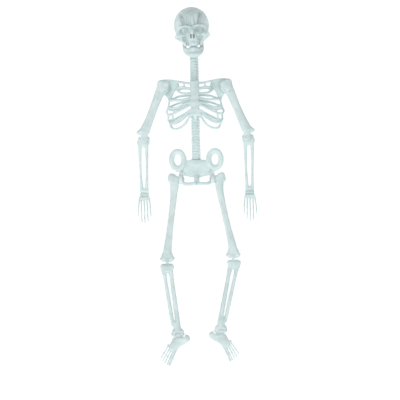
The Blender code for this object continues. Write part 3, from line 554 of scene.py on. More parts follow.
def make_skull():
    """The hollow head, parted into a front and a back shell."""
    head = skull_outside()
    # upper teeth, uneven at the tips
    for i, drop in enumerate(UPPER_DROPS):
        x = UPPER_TOOTH * (i - 3.5)
        head.ball((x, upper_row(x) + 3.2, -95.5 + drop * 0.6), (2.3, 3.2, 4.2 - drop * 0.6), 0.8)
    carve_face(head)
    carve_teeth(head, upper_row, -101, -91.5, 8, 15.6)
    head.ball((0, -38, -101), (15, 14, 7), 2, carve=True)
    for side in (1, -1):
        head.block((side * (BASE_HALF + 0.3), -26, -112), (side * 30.5, -2, -70), 1, 1, carve=True)
    head.ball((0, 0, -42), (40.5, 46, 38.5), 0, carve=True)
    head.ball((0, -25, -68), (27, 19, 18), 2, carve=True)
    y, z = JAW_PIN[1], JAW_PIN[2]
    head.bar((-60, y, z), (60, y, z), JAW_PIN_HOLE, carve=True)
    head.bar(leant_back(-70), leant_back(-100), 6.3, carve=True, flat=True)
    head.bar(leant_back(-91.7), leant_back(-130), 13.2, carve=True, flat=True)
    head.bar((0, EYE_BACK, 2), (0, EYE_BACK, -30), 1.8, carve=True, flat=True)
    back = head.copy()
    head.block((-90, -PARTING, -140), (90, 90, 40), 0, 0.8, carve=True)
    back.block((-90, -90, -140), (90, PARTING, 40), 0, 0.8, carve=True)
    finish_piece(head.skin("skull_face", tilt=HEAD_TILT), "skull", "skull_front", SKULL_PAINTED_SHADE)
    finish_piece(back.skin("skull_rear", tilt=HEAD_TILT), "skull", "skull_back", SKULL_PAINTED_SHADE)


def oval(centre_x, y, centre_z, half_width, half_height, turns):
    """Points round a closed oval that faces forwards."""
    return [(centre_x + half_width * math.cos(math.tau * i / turns), y,
             centre_z + half_height * math.sin(math.tau * i / turns)) for i in range(turns + 1)]


def make_hanging_eye():
    """A ring on a shank, held by a washer inside the crown."""
    eye = Mould((-7, 30, -27), (7, 38, 0.5), 0.3)
    eye.stroke(oval(0, EYE_BACK, EYE_HEIGHT, EYE_RADIUS, EYE_RADIUS, 24), EYE_WIRE)
    eye.bar((0, EYE_BACK, -11.5), (0, EYE_BACK, -23), 1.4, blend=0.6, flat=True)
    eye.bar((0, EYE_BACK, -22.8), (0, EYE_BACK, -24.8), 3.5, blend=0.3, flat=True)
    finish_piece(eye.skin("top_ring", tilt=HEAD_TILT), "skull", "hanging_eye", PIN)


def make_jaw():
    y, z = JAW_PIN[1], JAW_PIN[2]
    jaw = Mould((-40, -66, -132), (40, 0, -70), 0.8)
    for side in (1, -1):
        branch = smooth_path([(RAMUS_X, y, z), (RAMUS_X + 0.3, y, z - 14), (21, y - 6, z - 26)])
        jaw.stroke(mirrored(branch, side), list(np.interp(range(len(branch)), (0, 3, 6), (4.4, 4.2, 5))), 1)
        chin = smooth_path([(21, y - 6, -106), (18.5, -34, -114), (12, -45, -120), (0, -52.5, -122.2)])
        jaw.stroke(mirrored(chin, side), list(np.linspace(5, 5.7, len(chin))), 2)
        ridge = smooth_path([(19.5, -25, -106), (16.5, -38, -108), (10, -47, -109), (0, -50.5, -109)])
        jaw.stroke(mirrored(ridge, side), list(np.linspace(3.6, 4.2, len(ridge))), 2)
        jaw.stroke(mirrored([(13, -42, -113.5), (6, -48.5, -114.5), (0, -50, -114.5)], side), 4, 2)
        jaw.ball((side * 6, -52.5, -121.5), (5.5, 4.6, 4.6), 3)
    for i, rise in enumerate(LOWER_RISES):
        x = LOWER_TOOTH * (i - 3.5)
        jaw.ball((x, lower_row(x) + 3, -107 + rise * 0.5), (2.1, 2.8, 3.2 + rise * 0.3), 0.8)
    carve_teeth(jaw, lower_row, -109, -102, 8, 14)
    for side in (1, -1):
        jaw.block((side * 10, y - 13, -98), (side * (BASE_HALF + 0.8), y + 14, -60), 0.4, 0.5, carve=True)
    jaw.bar((-60, y, z), (60, y, z), JAW_PIN_HOLE, carve=True)
    finish_piece(jaw.skin("lower_jaw", tilt=HEAD_TILT), "jaw", "jaw")
    turned_pin("jaw_axle", "skull", "jaw_pin", (-28.5, y, z), (28.5, y, z), 1.6, 3.2, 1.6,
               both=True, tilt=HEAD_TILT)


# ---------------------------------------------------------------- trunk

COLUMN_RADIUS = 10.1
SEGMENT = 7.25  # height of one vertebra
NECK_TOP, SACRUM_TOP = -92.0, -382.0
PEG_RADIUS = 6.0
CHEST_SCREWS = (-206, -240, -274)
CHEST_Y = -16.0
BLADE_BACK, BLADE_FRONT = -6.0, -12.0
RIB = 2.6


def make_spine():
    """A ringed column with small spurs beside each ring, pegged at both ends."""
    spine = Mould((-14, -14, -394), (14, 14, -71), 0.7)

    def column(x, y, z):
        fold = np.abs((z - NECK_TOP) % SEGMENT - SEGMENT / 2) - SEGMENT / 2
        radius = COLUMN_RADIUS + 0.2 - 1.3 * np.exp(-(fold / 1.3) ** 2) + 0 * x
        return (np.sqrt(x * x + y * y) - radius) * 0.85

    spine.add(column, (-12, -12, SACRUM_TOP - 2), (12, 12, NECK_TOP + 2))
    for step in range(round((NECK_TOP - SACRUM_TOP) / SEGMENT)):
        z = NECK_TOP - SEGMENT * (step + 0.5)
        for side in (1, -1):
            spine.ball((side * 10.0, -0.5, z), (1.9, 3.4, 2.2), 0.6)
        spine.ball((0, 9.6, z - 0.8), (2.6, 1.7, 2.4), 1.2)
    for top in (NECK_TOP + 10, SACRUM_TOP):
        spine.bar((0, 0, top), (0, 0, top - 10), 20, carve=True, flat=True)
    spine.bar((0, 0, -74.5), (0, 0, NECK_TOP - 2), PEG_RADIUS, flat=True)
    spine.bar((0, 0, -74), (0, 0, -77), 8.5, flat=True)
    spine.bar((0, 0, SACRUM_TOP + 2), (0, 0, SACRUM_TOP - 9), PEG_RADIUS, flat=True)
    for height in CHEST_SCREWS:
        spine.bar((0, 4, height), (0, 20, height), 1.4, carve=True, flat=True)
    finish_piece(spine.skin("backbone"), "torso", "spine")


def chest_half_width(z):
    """Half the cage's width at a height: narrow at the collar, widest two thirds down."""
    return 46 + 26 * math.sin(math.pi / 2 * max(0.0, min(1.0, (-200 - z) / 62))) ** 1.2


def chest_y(x, z, front):
    """Front or back of the cage at a point, from its oval section."""
    across = min(1.0, abs(x) / chest_half_width(z))
    half_depth = 18 + 15 * min(1.0, (-185 - z) / 75) if front else 31
    return CHEST_Y + (-1 if front else 1) * half_depth * math.sqrt(1 - across ** 2)


FRONT_RIBS = (
    ((9, -193), (28, -190), (44, -187)),
    ((9, -206), (28, -202), (40, -203.5)),
    ((9, -218), (27, -217.5), (38, -214), (45, -206.5)),
    ((9, -229), (31, -233.5), (45, -234), (60, -233)),
    ((9, -239.5), (24, -243.5), (38.5, -250), (51, -254), (63.5, -253)),
    ((9, -244), (29, -255.5), (46, -264), (56, -268), (64.5, -269.5)),
    ((9, -260.5), (18, -263.5), (26.5, -274), (39.5, -283.5), (52, -290), (63, -290)),
    ((9, -261), (15.5, -278.5), (27, -295), (40, -303.5), (53, -305.5), (60.5, -300), (61.5, -290.5)),
)
RIB_LINKS = (((51, -254), (53.5, -261), (51, -267)), ((55, -268), (56, -278), (53, -290)))
BACK_RIBS = (
    ((7, -205), (24, -203), (40, -205)),
    ((7, -220.5), (28, -221.5), (41, -223.5), (59, -231.5)),
    ((7, -233), (20, -235.5), (41.5, -240), (57, -246.5), (65, -250.5)),
    ((7, -242), (24, -246), (38.5, -252.5), (52, -257), (64, -256)),
    ((7, -261.5), (20.5, -263.5), (28, -267.5), (42, -275), (53.5, -281.5), (65, -283)),
    ((7, -264), (18, -267), (27, -276), (40, -285.5), (53, -291.5)),
)
SIDE_CHAIN = ((61, -226), (63.5, -234), (67, -250), (71.5, -262), (67, -272), (68, -282), (62.5, -292))


def rib_paths(ribs, front):
    for rib in ribs:
        flat = smooth_path([(x, 0, z) for x, z in rib], 4)
        path = [(x, chest_y(x, z, front), z) for x, _, z in flat]
        x, _, z = path[-1]
        if x > 50:
            path.append((x + 0.5, CHEST_Y + (0 if front else 3), z))
        for side in (1, -1):
            yield mirrored(path, side)


def make_chest_front():
    """Breastbone, collar bones and front ribs."""
    cage = Mould((-76, -56, -314), (76, -13, -180), 0.85)
    for path in rib_paths(FRONT_RIBS, True):
        swell = [RIB + 0.5 * math.cos(math.pi * i / (len(path) - 1)) ** 2 for i in range(len(path))]
        cage.stroke(path, swell, 1.6)
    for side in (1, -1):
        for link in (*RIB_LINKS, ((26, -191), (26, -200))):
            cage.stroke(mirrored([(x, chest_y(x, z, True), z) for x, z in link], side), 2.2, 1.6)
    bone = [(chest_y(9, z, True), z) for z in (-190, -207, -224, -241, -258, -270)]
    for x in (-5.8, 0, 5.8):
        cage.stroke([(x, y, z) for y, z in bone], (5, 4.6, 4.4, 4.4, 4.4, 4.2), 3)
    cage.stroke([(0, chest_y(9, -268, True), -268), (0, chest_y(9, -268, True) + 2, -284)], (5.4, 2.6), 3)
    cage.block((-90, CHEST_Y, -330), (90, 40, -170), 0, 0.6, carve=True)
    finish_piece(cage.skin("ribs_front"), "torso", "rib_cage_front")


def make_chest_back():
    """Back ribs, shoulder blades, and the strip that is screwed to the spine."""
    cage = Mould((-93, -22, -302), (93, 22, -178), 0.85)
    for x in (-5, 0, 5):
        cage.stroke([(x, 14.5, -192), (x, 14.5, -284)], 3.4, 2)
    for path in rib_paths(BACK_RIBS, False):
        cage.stroke(path, RIB, 1.6)
    middle = (BLADE_FRONT + BLADE_BACK) / 2
    for side in (1, -1):
        chain = [(x, CHEST_Y + 3, z) for x, z in SIDE_CHAIN]
        cage.stroke(mirrored(chain, side), 2.5, 1.6)
        blade = [(44, -196), (50, -190), (60, -189), (72, -190), (84, -190)]
        cage.stroke(mirrored([(x, middle, z) for x, z in blade], side), (6, 6.5, 7.5, 9, 9), 4, 0.55)
        inner = [(50, -194), (56, -203), (61, -217), (62, -232)]
        cage.stroke(mirrored([(x, middle, z) for x, z in inner], side), (8, 9, 6, 3.5), 4, 0.6)
        outer = [(80, -196), (74, -206), (67, -219), (62, -232)]
        cage.stroke(mirrored([(x, middle, z) for x, z in outer], side), (9, 7, 5, 3.5), 4, 0.6)
        cage.stroke(mirrored([(66, middle, -200), (64, middle, -212)], side), (9, 7), 3, 0.45)
        cage.stroke(mirrored([(46, middle, -200), (42, 2, -204), (38, 8, -205)], side), 3.5, 2)
        # the blade's dished front and its raised inner edge
        cage.ball((side * 63, BLADE_FRONT - 2, -203), (9, 3.6, 11), 2, carve=True)
        cage.block((side * 44.5, BLADE_FRONT - 8, -229), (side * 100, BLADE_FRONT, -170), 0, 0.5, carve=True)
        x, z = SHOULDER[0], SHOULDER[2]
        cage.block((side * (x - 13), BLADE_BACK, z - 24), (side * (x + 30), 10, z + 30), 0, 0.5, carve=True)
        cage.bar((side * x, -30, z), (side * x, 10, z), SHOULDER_RIVET + 0.3, carve=True)
    cage.bar((0, 0, -170), (0, 0, -310), 11.5, carve=True, flat=True)
    for height in CHEST_SCREWS:
        cage.bar((0, 4, height), (0, 30, height), 1.7, carve=True, flat=True)
    finish_piece(cage.skin("ribs_back"), "torso", "rib_cage_back")


# the domed wall's half width at each height
PELVIS_ROWS = ((-428, 4), (-425, 18), (-422, 28), (-419, 35), (-416, 38.5), (-412, 41), (-408, 45),
               (-404, 47), (-400, 47), (-396, 44), (-392, 40), (-389, 35), (-385.5, 28), (-383, 26))


def bowl_y(x, z):
    """The domed wall of the pelvis, flush with the column at its top."""
    return -7 + 8 * (x / 46) ** 2 + 0.006 * (z + 386) ** 2


def make_chest_screws():
    """Three screws that hold the back of the cage to the spine."""
    for number, height in enumerate(CHEST_SCREWS, 1):
        turned_pin(f"screw_{number}", "torso", f"chest_screw_{number}", (0, 21, height), (0, 5, height),
                   1.1, 3, 2.4, material=STEEL)


def make_pelvis():
    """Two open wings around a domed wall, flat ears for the hips, and the closed front arch."""
    pelvis = Mould((-71, -22, -453), (71, 20, -352), 0.8)
    heights, half_widths = zip(*PELVIS_ROWS)

    def wall(x, y, z):
        steep = np.sqrt(1 + (16 * x / 46 ** 2) ** 2 + (0.012 * (z + 386)) ** 2)
        sheet = np.abs(y - bowl_y(x, z)) / steep - 2.5
        half = np.interp(z.ravel(), heights, half_widths).reshape(z.shape)
        edge = np.maximum((np.abs(x) - half) * 0.7, np.abs(z + 405.5) - 22.5)
        return -smooth_min(-sheet, -edge, 2.5) + 0 * x

    pelvis.add(wall, (-50, -13, -429), (50, 18, -382))
    pelvis.ball((0, 0.5, -391), (17, 11.5, 10), 9)
    # curved folds of the tail bone
    for top, half, sag in ((-395, 11, 5), (-401, 12, 6), (-407, 11, 7)):
        arc = [(half * t / 4, 0, top - sag * (1 - (t / 4) ** 2)) for t in range(-4, 5)]
        pelvis.stroke([(x, bowl_y(x, z) - 2.6, z) for x, _, z in arc], 0.9, 2)
    for side in (1, -1):
        pelvis.stroke(mirrored(oval(46.5, -4, -382, 15.3, 21.3, 36), side), 6.1, 2.5, 0.85)
        rim = [(58, -4, -394), (56, -3.5, -400), (47, -2, -405), (40, 0, -416)]
        pelvis.stroke(mirrored(rim, side), (4.8, 5, 5.5, 5), 3)
        pelvis.bar((side * 35, 0, HIP_HEIGHT), (side * 45.7, 0, HIP_HEIGHT), 12.5, blend=1, flat=True)
        pelvis.stroke(mirrored([(33, -1, -416), (36, 0, -424)], side), 4, 3)
        pubis = smooth_path([(36, -3, -438), (27, -7, -442.5), (14, -8, -442.5), (0, -8, -441)])
        pelvis.stroke(mirrored(pubis, side), list(np.linspace(4.1, 3.8, len(pubis) - 1)) + [4.8], 2)
    for x in (-1.5, 1.5):
        pelvis.stroke([(x, -7, -441), (x, -4, -432), (x, 0, -424)], (5, 4.8, 5), 3)
    pelvis.ball((0, -12.6, -441), (0.9, 3, 8), 1, carve=True)
    pelvis.bar((0, 0, SACRUM_TOP + 20), (0, 0, SACRUM_TOP - 0.3), 10.8, carve=True, flat=True)
    pelvis.bar((0, 0, SACRUM_TOP + 5), (0, 0, SACRUM_TOP - 9.5), 6.3, carve=True, flat=True)
    for side in (1, -1):
        pelvis.bar((side * 28, 0, HIP_HEIGHT), (side * 34.8, 0, HIP_HEIGHT), 7.2, carve=True, flat=True)
        pelvis.bar((side * 30, 0, HIP_HEIGHT), (side * 60, 0, HIP_HEIGHT), PEG_HOLE, carve=True, flat=True)
        pelvis.block((side * 44.7, -30, -460), (side * 60, 30, -412), 0, 0.4, carve=True)
    finish_piece(pelvis.skin("hip_basin"), "torso", "pelvis")


# ---------------------------------------------------------------- arms

ARM_Y = -19.5
LAP_Y = -19.7
SHOULDER_RIVET = 2.5
ELBOW_HOLE, ELBOW_RECESS = 2.3, 4.3


def make_upper_arm(name, side):
    """Heart-shaped cap, shaft and the elbow's tongue, parted into a front and a back shell."""
    x, _, z = ELBOW
    sx, _, sz = SHOULDER
    arm = Mould((55, -33, -342), (150, -7, -178), 0.8)
    arm.stroke([(84, ARM_Y, -192), (82, ARM_Y, -203), (90, ARM_Y, -219)], (10, 12.5, 11.5), 3, 0.68)
    arm.stroke([(72, ARM_Y, -194), (75, ARM_Y, -206), (80, ARM_Y, -214)], (9.5, 9, 7), 3, 0.72)
    shaft = smooth_path([(88, ARM_Y, -214), (104, ARM_Y, -254), (116, ARM_Y, -284), (126, ARM_Y, -306)])
    arm.stroke(shaft, list(np.interp(range(len(shaft)), (0, 3, 6, 9), (11.5, 10, 10.8, 12.5))), 1, 0.62)
    arm.stroke([(121, ARM_Y, -308), (134, ARM_Y, -310), (141, ARM_Y, -312)], (7, 7.5, 6.5), 3, 0.9)
    arm.stroke([(x, ARM_Y - 4, -312), (x, ARM_Y - 4, z)], (9, 8.5), 1.5, 0.6)
    # the cap stands a step proud of the shaft, and a shallow furrow runs down it
    arm.stroke([(88, -27.5, -226), (103, -27.5, -256), (116, -27.5, -286)], (1.2, 2.2, 1.4), 3, carve=True)
    crease = [(99, -26, -199), (91, -27.2, -210), (82, -27.6, -217), (73, -25.5, -209)]
    arm.stroke(crease, 1.6, 0.8, carve=True)
    arm.bar((95, ARM_Y, -231), (120, ARM_Y, -293), 7.2, depth=0.56, carve=True)
    arm.block((40, BLADE_FRONT - 0.3, -240), (180, 10, -160), 0, 0.4, carve=True)
    arm.block((90, LAP_Y, -360), (170, 10, -303), 0, 0.4, carve=True)
    arm.bar((sx, BLADE_FRONT - 12, sz), (sx, 0, sz), SHOULDER_RIVET + 0.3, carve=True, flat=True)
    arm.bar((x, -40, z), (x, 0, z), ELBOW_HOLE, carve=True)
    arm.bar((x, -40, z), (x, -26.1, z), ELBOW_RECESS, carve=True, flat=True)
    halves(arm, LAP_Y + 0.6, side, f"upper_arm_{name}", "upper_arm_front_" + name, "upper_arm_back_" + name)
    turned_pin(f"rivet_{name}", f"upper_arm_{name}", f"shoulder_rivet_{name}",
               (side * sx, -2, sz), (side * sx, BLADE_FRONT - 11, sz), SHOULDER_RIVET, 5.5, 2.8)
    turned_pin(f"elbow_{name}", f"upper_arm_{name}", f"elbow_pin_{name}",
               (side * x, -28, z), (side * x, -7.2, z), 2.0, 4.0, 1.6, both=True)


HAND = (131, -466)  # middle of the wrist, out from the column and down
# each finger's root, knuckle and tip out from the hand's middle, and the height of its tip
FINGERS = ((12.5, 15.5, 16, -520), (8, 8.5, 7.5, -536), (1, 0.8, 0, -539), (-5.5, -7, -7.5, -533),
           (-11.5, -14, -15, -521))


def make_forearm(name, side):
    """Both forearm bones, a knobbly wrist and five jointed fingers in one moulding."""
    x, _, z = ELBOW
    hx, hz = HAND
    y = ARM_Y + 4.2
    arm = Mould((106, -25, -545), (156, -6, -312), 0.65)
    arm.stroke([(x, y, z), (x + 3, y, z - 8)], (11, 14), 1, 0.45)
    arm.stroke([(hx - 11, y, -327.5), (hx + 8, y, -327.5)], (5.5, 5.5), 1.5, 0.8)
    arm.stroke([(hx - 9, y, -336), (hx + 9, y, -338)], (7, 7.5), 2, 0.55)
    for offset in (-7.6, 8.6):
        bone = smooth_path([(hx + offset, y, -342), (hx + offset * 1.05, y, -370), (hx + offset, y, -410),
                            (hx + offset * 0.8, y, -450)])
        arm.stroke(bone, list(np.interp(range(len(bone)), (0, 3, 6, 9), (5, 3.9, 2.8, 4.4))), 1.6, 0.9)
    for up, inner, outer, radius in ((10, -6, 6, 5.5), (0, -6.5, 7, 5.3), (-11, -9.5, 10.5, 4.5)):
        arm.stroke([(hx + inner, y, hz + up), (hx + outer, y, hz + up)], radius, 1.5, 0.75)
    # two rows of wrist bones
    for height, count, reach in ((hz - 0.5, 3, 7), (hz - 7.5, 5, 10)):
        for i in range(count):
            knob = hx + 0.8 + reach * (2 * i / (count - 1) - 1)
            arm.ball((knob, y - 2.9, height), (2.9, 2.3, 3.1), 0.4)
    for root, knuckle, tip, height in FINGERS:
        start = np.array((hx + root, y, hz - 10))
        bend = np.array((hx + knuckle, y - 1.2, (hz + height) / 2 - 5))
        end = np.array((hx + tip, y, height + 1.6))
        middle = bend * 0.45 + end * 0.55 + np.array((0.5, -0.6, 0))
        arm.stroke([start, bend, middle, end], (2.0, 1.7, 1.6, 1.6), 0.7)
        for centre, size in ((bend, 2.1), (middle, 1.9), ((start + bend) / 2, 1.7)):
            arm.ball(centre, (size, size, size * 2.2), 0.8)
    arm.block((90, -50, -352), (170, LAP_Y + 0.3, -300), 0, 0.4, carve=True)
    arm.bar((x, -40, z), (x, 0, z), ELBOW_HOLE, carve=True)
    arm.bar((x, -9.1, z), (x, 10, z), ELBOW_RECESS, carve=True, flat=True)
    finish_piece(arm.skin(f"forearm_{name}_bones", side), f"forearm_{name}", f"forearm_hand_{name}")


# ---------------------------------------------------------------- legs

HIP_HEIGHT = -430.0
HIP_X = 56.0
PEG_HOLE = 4.1
TONGUE = 3.5  # half thickness of the knee's tongue
KNEE_TONGUE_RADIUS = 6.0
KNEE_PIN_UP = 9.5  # the knee pin's height over the gap
ANKLE_PIN_DOWN = 2  # the ankle pin's depth under the middle of the fork
ANKLE_TONGUE = 5.0
ANKLE_KNUCKLE = 6.8  # radius of the foot's tongue around the ankle pin
LEG_PIN_HOLE = 1.9
HEEL_INNER = 17.8  # how far in from the ankle the heel may rise beside the fork


def make_thigh(name, side):
    """Hip block and neck, shaft and forked knee, parted into a front and a back shell."""
    kx, pin = abs(joint_at(f"knee_{name}")[0]), joint_at(f"knee_{name}")[2]
    thigh = Mould((42, -17, pin - 14), (108, 17, -410), 0.8)
    thigh.bar((45, 0, HIP_HEIGHT), (60, 0, HIP_HEIGHT), 8, blend=1, flat=True)
    thigh.stroke([(58, 0, -424), (63, 0, -423), (64, 0, -431), (56, 0, -440)], (8, 8, 8.5, 10), 2.5, 0.95)
    shaft = smooth_path([(55, 0, -440), (57.5, 0, -462), (HIP_X + (kx - HIP_X) * 0.27, 0, -500),
                         (HIP_X + (kx - HIP_X) * 0.62, 0, -553), (HIP_X + (kx - HIP_X) * 0.9, 0, pin + 30),
                         (kx, 0, pin + 10)])
    girth = list(np.interp(range(len(shaft)), (0, 3, 6, 9, 12, 15), (12, 9, 7.8, 8, 9.8, 11)))
    thigh.stroke(shaft, girth, 2, 0.85)
    thigh.stroke([(kx - 9, 0, pin), (kx + 9, 0, pin)], (8.3, 8.3), 2)
    thigh.stroke([(kx - 6, 0, pin + 8), (kx + 6, 0, pin + 8)], (8.5, 8.5), 2, 0.95)
    # the groove over the knee and a long furrow down the shaft
    thigh.ball((kx, -10.5, pin + 9), (3.4, 3.2, 11), 3, carve=True)
    thigh.stroke([(p[0] + 1, -8.2, p[2]) for p in shaft[5:12]], 1.5, 4, carve=True)
    for start, end in zip(shaft[3:12:3], shaft[6:15:3]):
        thigh.bar(start, end, 5.6, depth=0.8, carve=True)
    thigh.block((20, -30, -460), (45, 30, -400), 0, 0.4, carve=True)
    thigh.bar((40, 0, HIP_HEIGHT), (60, 0, HIP_HEIGHT), PEG_HOLE, carve=True, flat=True)
    gap = TONGUE + 0.3
    thigh.bar((kx - gap, 0, pin), (kx + gap, 0, pin), KNEE_TONGUE_RADIUS + 0.4, carve=True, flat=True)
    thigh.block((kx - gap, -30, pin - 30), (kx + gap, 30, pin), 0, 0.4, carve=True)
    thigh.block((kx - gap, 0, pin - 30), (kx + gap, 30, pin + 9), 0, 0.4, carve=True)
    thigh.bar((kx - 30, 0, pin), (kx + 30, 0, pin), LEG_PIN_HOLE, carve=True)
    halves(thigh, 0, side, f"thigh_{name}", f"thigh_front_{name}", f"thigh_back_{name}")
    turned_pin(f"hip_{name}", f"thigh_{name}", f"hip_peg_{name}", (side * 30.5, 0, HIP_HEIGHT),
               (side * 58.5, 0, HIP_HEIGHT), 3.8, 6.4, 4)
    turned_pin(f"knee_{name}", f"thigh_{name}", f"knee_pin_{name}", (side * (kx - 18.5), 0, pin),
               (side * (kx + 18.5), 0, pin), 1.6, 3.2, 1.4, both=True)


def make_shin(name, side):
    """Shin bone and calf bone in one moulding, with the knee's tongue and the ankle's fork."""
    kx, pin = abs(joint_at(f"knee_{name}")[0]), joint_at(f"knee_{name}")[2]
    kz = pin - KNEE_PIN_UP
    ankle = joint_at(f"ankle_{name}")
    ax, low_pin = abs(ankle[0]), ankle[2]
    az = low_pin + ANKLE_PIN_DOWN
    top = np.array((kx + 1.5, 0, kz - 15))
    low = np.array((ax + 5.5, 0, az + 22))
    shin = Mould((30, -15, az - 12), (108, 15, kz + 18), 0.8)
    shin.stroke([(kx - 8, 0, kz - 11.5), (kx + 10, 0, kz - 11.5)], (8.6, 8.6), 2, 0.95)
    shin.stroke([(kx - 5, 0, kz - 18), (kx + 8, 0, kz - 18)], (9, 9), 2, 0.85)
    for offset, radii in ((-8.5, (6.5, 5, 6, 6)), (8.5, (6, 4.6, 5, 4.6))):
        spots = [top + (low - top) * t + np.array((offset * (1 - 0.22 * t), 0, 0))
                 for t in (0.06, 0.2, 0.7, 1)]
        bone = smooth_path(spots)
        shin.stroke(bone, list(np.interp(range(len(bone)), (0, 3, 6, 9), radii)), 1.5, 0.9)
    shin.stroke([(low[0] - 2, 0, low[2] + 2), (ax, 0, az + 8)], (9, 10), 2.5, 0.8)
    shin.stroke([(ax - 8, 0, az + 4), (ax + 8, 0, az + 4)], (7.5, 7.5), 2, 0.95)
    shin.stroke([(ax - 9.5, 0, az - 2.4), (ax + 9.5, 0, az - 2.4)], (6.2, 6.2), 1.5)
    shin.bar((kx - TONGUE, 0, pin), (kx + TONGUE, 0, pin), KNEE_TONGUE_RADIUS, flat=True)
    shin.block((kx - TONGUE, -5, kz - 12), (kx + TONGUE, 5, pin - 0.5), 0.4)
    shin.bar((kx - 30, 0, pin), (kx + 30, 0, pin), LEG_PIN_HOLE, carve=True)
    gap = ANKLE_TONGUE + 0.3
    shin.bar((ax - gap, 0, low_pin), (ax + gap, 0, low_pin), ANKLE_KNUCKLE + 0.3, carve=True, flat=True)
    shin.block((ax - gap, -30, az - 20), (ax + gap, 30, low_pin), 0, 0.4, carve=True)
    shin.bar((ax - 30, 0, low_pin), (ax + 30, 0, low_pin), LEG_PIN_HOLE, carve=True)
    finish_piece(shin.skin(f"shin_{name}_bones", side), f"shin_{name}", f"shin_{name}")
    turned_pin(f"ankle_{name}", f"shin_{name}", f"ankle_pin_{name}", (side * (ax - 17), 0, low_pin),
               (side * (ax + 17), 0, low_pin), 1.6, 3.0, 1.4, both=True)


# each toe's root and tip, out from the ankle and up from it, and its radius
TOES = (((4, -38), (22, -78), 2.9), ((10.5, -38), (28, -77), 1.8), ((15.5, -36), (33.5, -72), 1.7),
        ((20, -34), (38.5, -67), 1.7), ((24.5, -31), (43.5, -61), 1.7))


def make_foot(name, side):
    """Heel, instep and five thin toes, hanging toes down and turned out, with the ankle's tongue."""
    ankle = joint_at(f"ankle_{name}")
    ax, low_pin = abs(ankle[0]), ankle[2]
    az = low_pin + ANKLE_PIN_DOWN
    foot = Mould((ax - 34, -14, az - 86), (ax + 50, 14, az + 8), 0.65)
    foot.stroke([(ax, 0, az - 15), (ax - 10, 1, az - 16)], (7, 8), 2)
    foot.ball((ax - 20.5, 2, az - 13.5), (10.3, 9.5, 9.8), 2)
    foot.stroke([(ax - 17, 1, az - 19), (ax + 1, 0, az - 28)], (7.5, 8.5), 2, 0.8)
    foot.stroke([(ax + 3, 0, az - 16), (ax + 9, 0, az - 17)], (7, 6), 2)
    foot.stroke([(ax, 0, az - 17), (ax + 7, -2, az - 28), (ax + 13, -3, az - 36)], (10, 11.5, 10.5), 2.5, 0.6)
    for root, tip, radius in TOES:
        start = np.array((ax + root[0], -3, az + root[1]))
        end = np.array((ax + tip[0], -3, az + tip[1]))
        knuckle = start * 0.4 + end * 0.6 + np.array((0, -1.5, 0))
        foot.stroke([start, knuckle, end], (radius + 0.2, radius - 0.1, radius), 0.7)
        foot.ball(knuckle, (radius + 0.4, radius + 0.4, radius + 1.5), 0.8)
        foot.ball(start + np.array((0, -0.5, 2)), (radius + 1, 3.4, 4), 1)
    foot.block((ax - HEEL_INNER, -30, az - 9.5), (ax + 40, 30, az + 20), 0, 0.4, carve=True)
    foot.bar((ax - ANKLE_TONGUE, 0, low_pin), (ax + ANKLE_TONGUE, 0, low_pin), ANKLE_KNUCKLE, flat=True)
    foot.block((ax - ANKLE_TONGUE, -4.5, az - 18), (ax + ANKLE_TONGUE, 4.5, az - 2.4), 0.3)
    foot.bar((ax - 30, 0, low_pin), (ax + 30, 0, low_pin), LEG_PIN_HOLE, carve=True)
    finish_piece(foot.skin(f"foot_{name}_bones", side), f"foot_{name}", f"foot_{name}")


make_skull()
make_jaw()
make_hanging_eye()
make_spine()
make_chest_front()
make_chest_back()
make_chest_screws()
make_pelvis()
for side_name, side_sign in SIDES.items():
    make_upper_arm(side_name, side_sign)
    make_forearm(side_name, side_sign)
    make_thigh(side_name, side_sign)
    make_shin(side_name, side_sign)
    make_foot(side_name, side_sign)


# ---------------------------------------------------------------- stage

FLOOR_DROP = 0.35  # floor under the toes, m
SWEEP_START, SWEEP_RADIUS, SWEEP_STEPS = 4.0, 2.5, 12
STAGE_REACH = 14.0
VIEW_WIDTH, VIEW_DISTANCE = 1.0, 6.0
VIEW_AIM = (7.0, 0, -483.0)
VIEW_ROLL = math.radians(1.3)


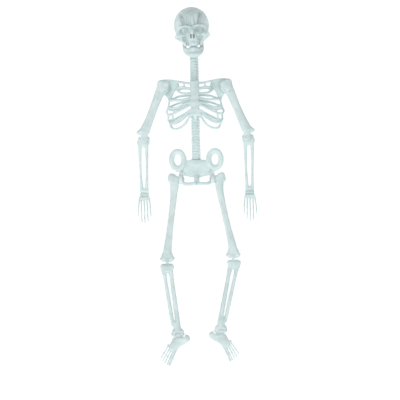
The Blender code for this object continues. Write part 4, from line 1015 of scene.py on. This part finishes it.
def make_stage():
    """A pale floor that sweeps up behind the figure."""
    floor_z = CAD_BOX[0][2] - FLOOR_DROP
    profile = [(-STAGE_REACH, 0.0), (SWEEP_START, 0.0)]
    for i in range(1, SWEEP_STEPS + 1):
        turn = math.pi / 2 * i / SWEEP_STEPS
        profile.append((SWEEP_START + SWEEP_RADIUS * math.sin(turn),
                        SWEEP_RADIUS - SWEEP_RADIUS * math.cos(turn)))
    profile.append((SWEEP_START + SWEEP_RADIUS, STAGE_REACH))
    points = [(x, y, floor_z + z) for y, z in profile for x in (-STAGE_REACH, STAGE_REACH)]
    faces = [(2 * i, 2 * i + 1, 2 * i + 3, 2 * i + 2) for i in range(len(profile) - 1)]
    mesh = bpy.data.meshes.new("sweep")
    mesh.from_pydata(points, [], faces)
    mesh.shade_smooth()
    sweep = bpy.data.objects.new("sweep", mesh)
    bpy.context.scene.collection.objects.link(sweep)
    paper = bpy.data.materials.new("white_paper")
    paper.use_nodes = True
    shader = paper.node_tree.nodes["Principled BSDF"]
    shader.inputs["Base Color"].default_value = (0.93, 0.93, 0.93, 1)
    shader.inputs["Roughness"].default_value = 0.9
    shader.inputs["Emission Color"].default_value = (1, 1, 1, 1)
    shader.inputs["Emission Strength"].default_value = 0.56
    mesh.materials.append(paper)


def add_light(name, place, aim, size, power):
    light = bpy.data.lights.new(name, "AREA")
    light.shape = "DISK"
    light.size = size
    light.energy = power
    lamp = bpy.data.objects.new(name, light)
    lamp.location = place
    lamp.rotation_euler = (Vector(aim) - Vector(place)).to_track_quat("-Z", "Y").to_euler()
    bpy.context.scene.collection.objects.link(lamp)


def make_camera():
    """A long lens from straight in front, rolled a little."""
    camera = bpy.data.cameras.new("camera")
    camera.sensor_width = 36.0
    camera.lens = camera.sensor_width * VIEW_DISTANCE / VIEW_WIDTH
    holder = bpy.data.objects.new("camera", camera)
    aim = Vector(to_row(VIEW_AIM))
    holder.location = aim + Vector((0, -VIEW_DISTANCE, 0))
    holder.rotation_euler = (math.pi / 2, VIEW_ROLL, 0)
    bpy.context.scene.collection.objects.link(holder)
    bpy.context.scene.camera = holder


def make_world():
    world = bpy.data.worlds.new("studio")
    world.use_nodes = True
    sky = world.node_tree.nodes["Background"]
    sky.inputs["Color"].default_value = (1, 1, 1, 1)
    sky.inputs["Strength"].default_value = 0.32
    bpy.context.scene.world = world


make_stage()
middle = Vector(to_row((0, 0, -450)))
add_light("key", middle + Vector((-1.9, -3.4, 2.6)), middle, 1.5, 42)
add_light("fill", middle + Vector((0.8, -4.6, 1.2)), middle, 1.6, 16)
make_camera()
make_world()
bpy.context.scene.view_settings.view_transform = "Standard"
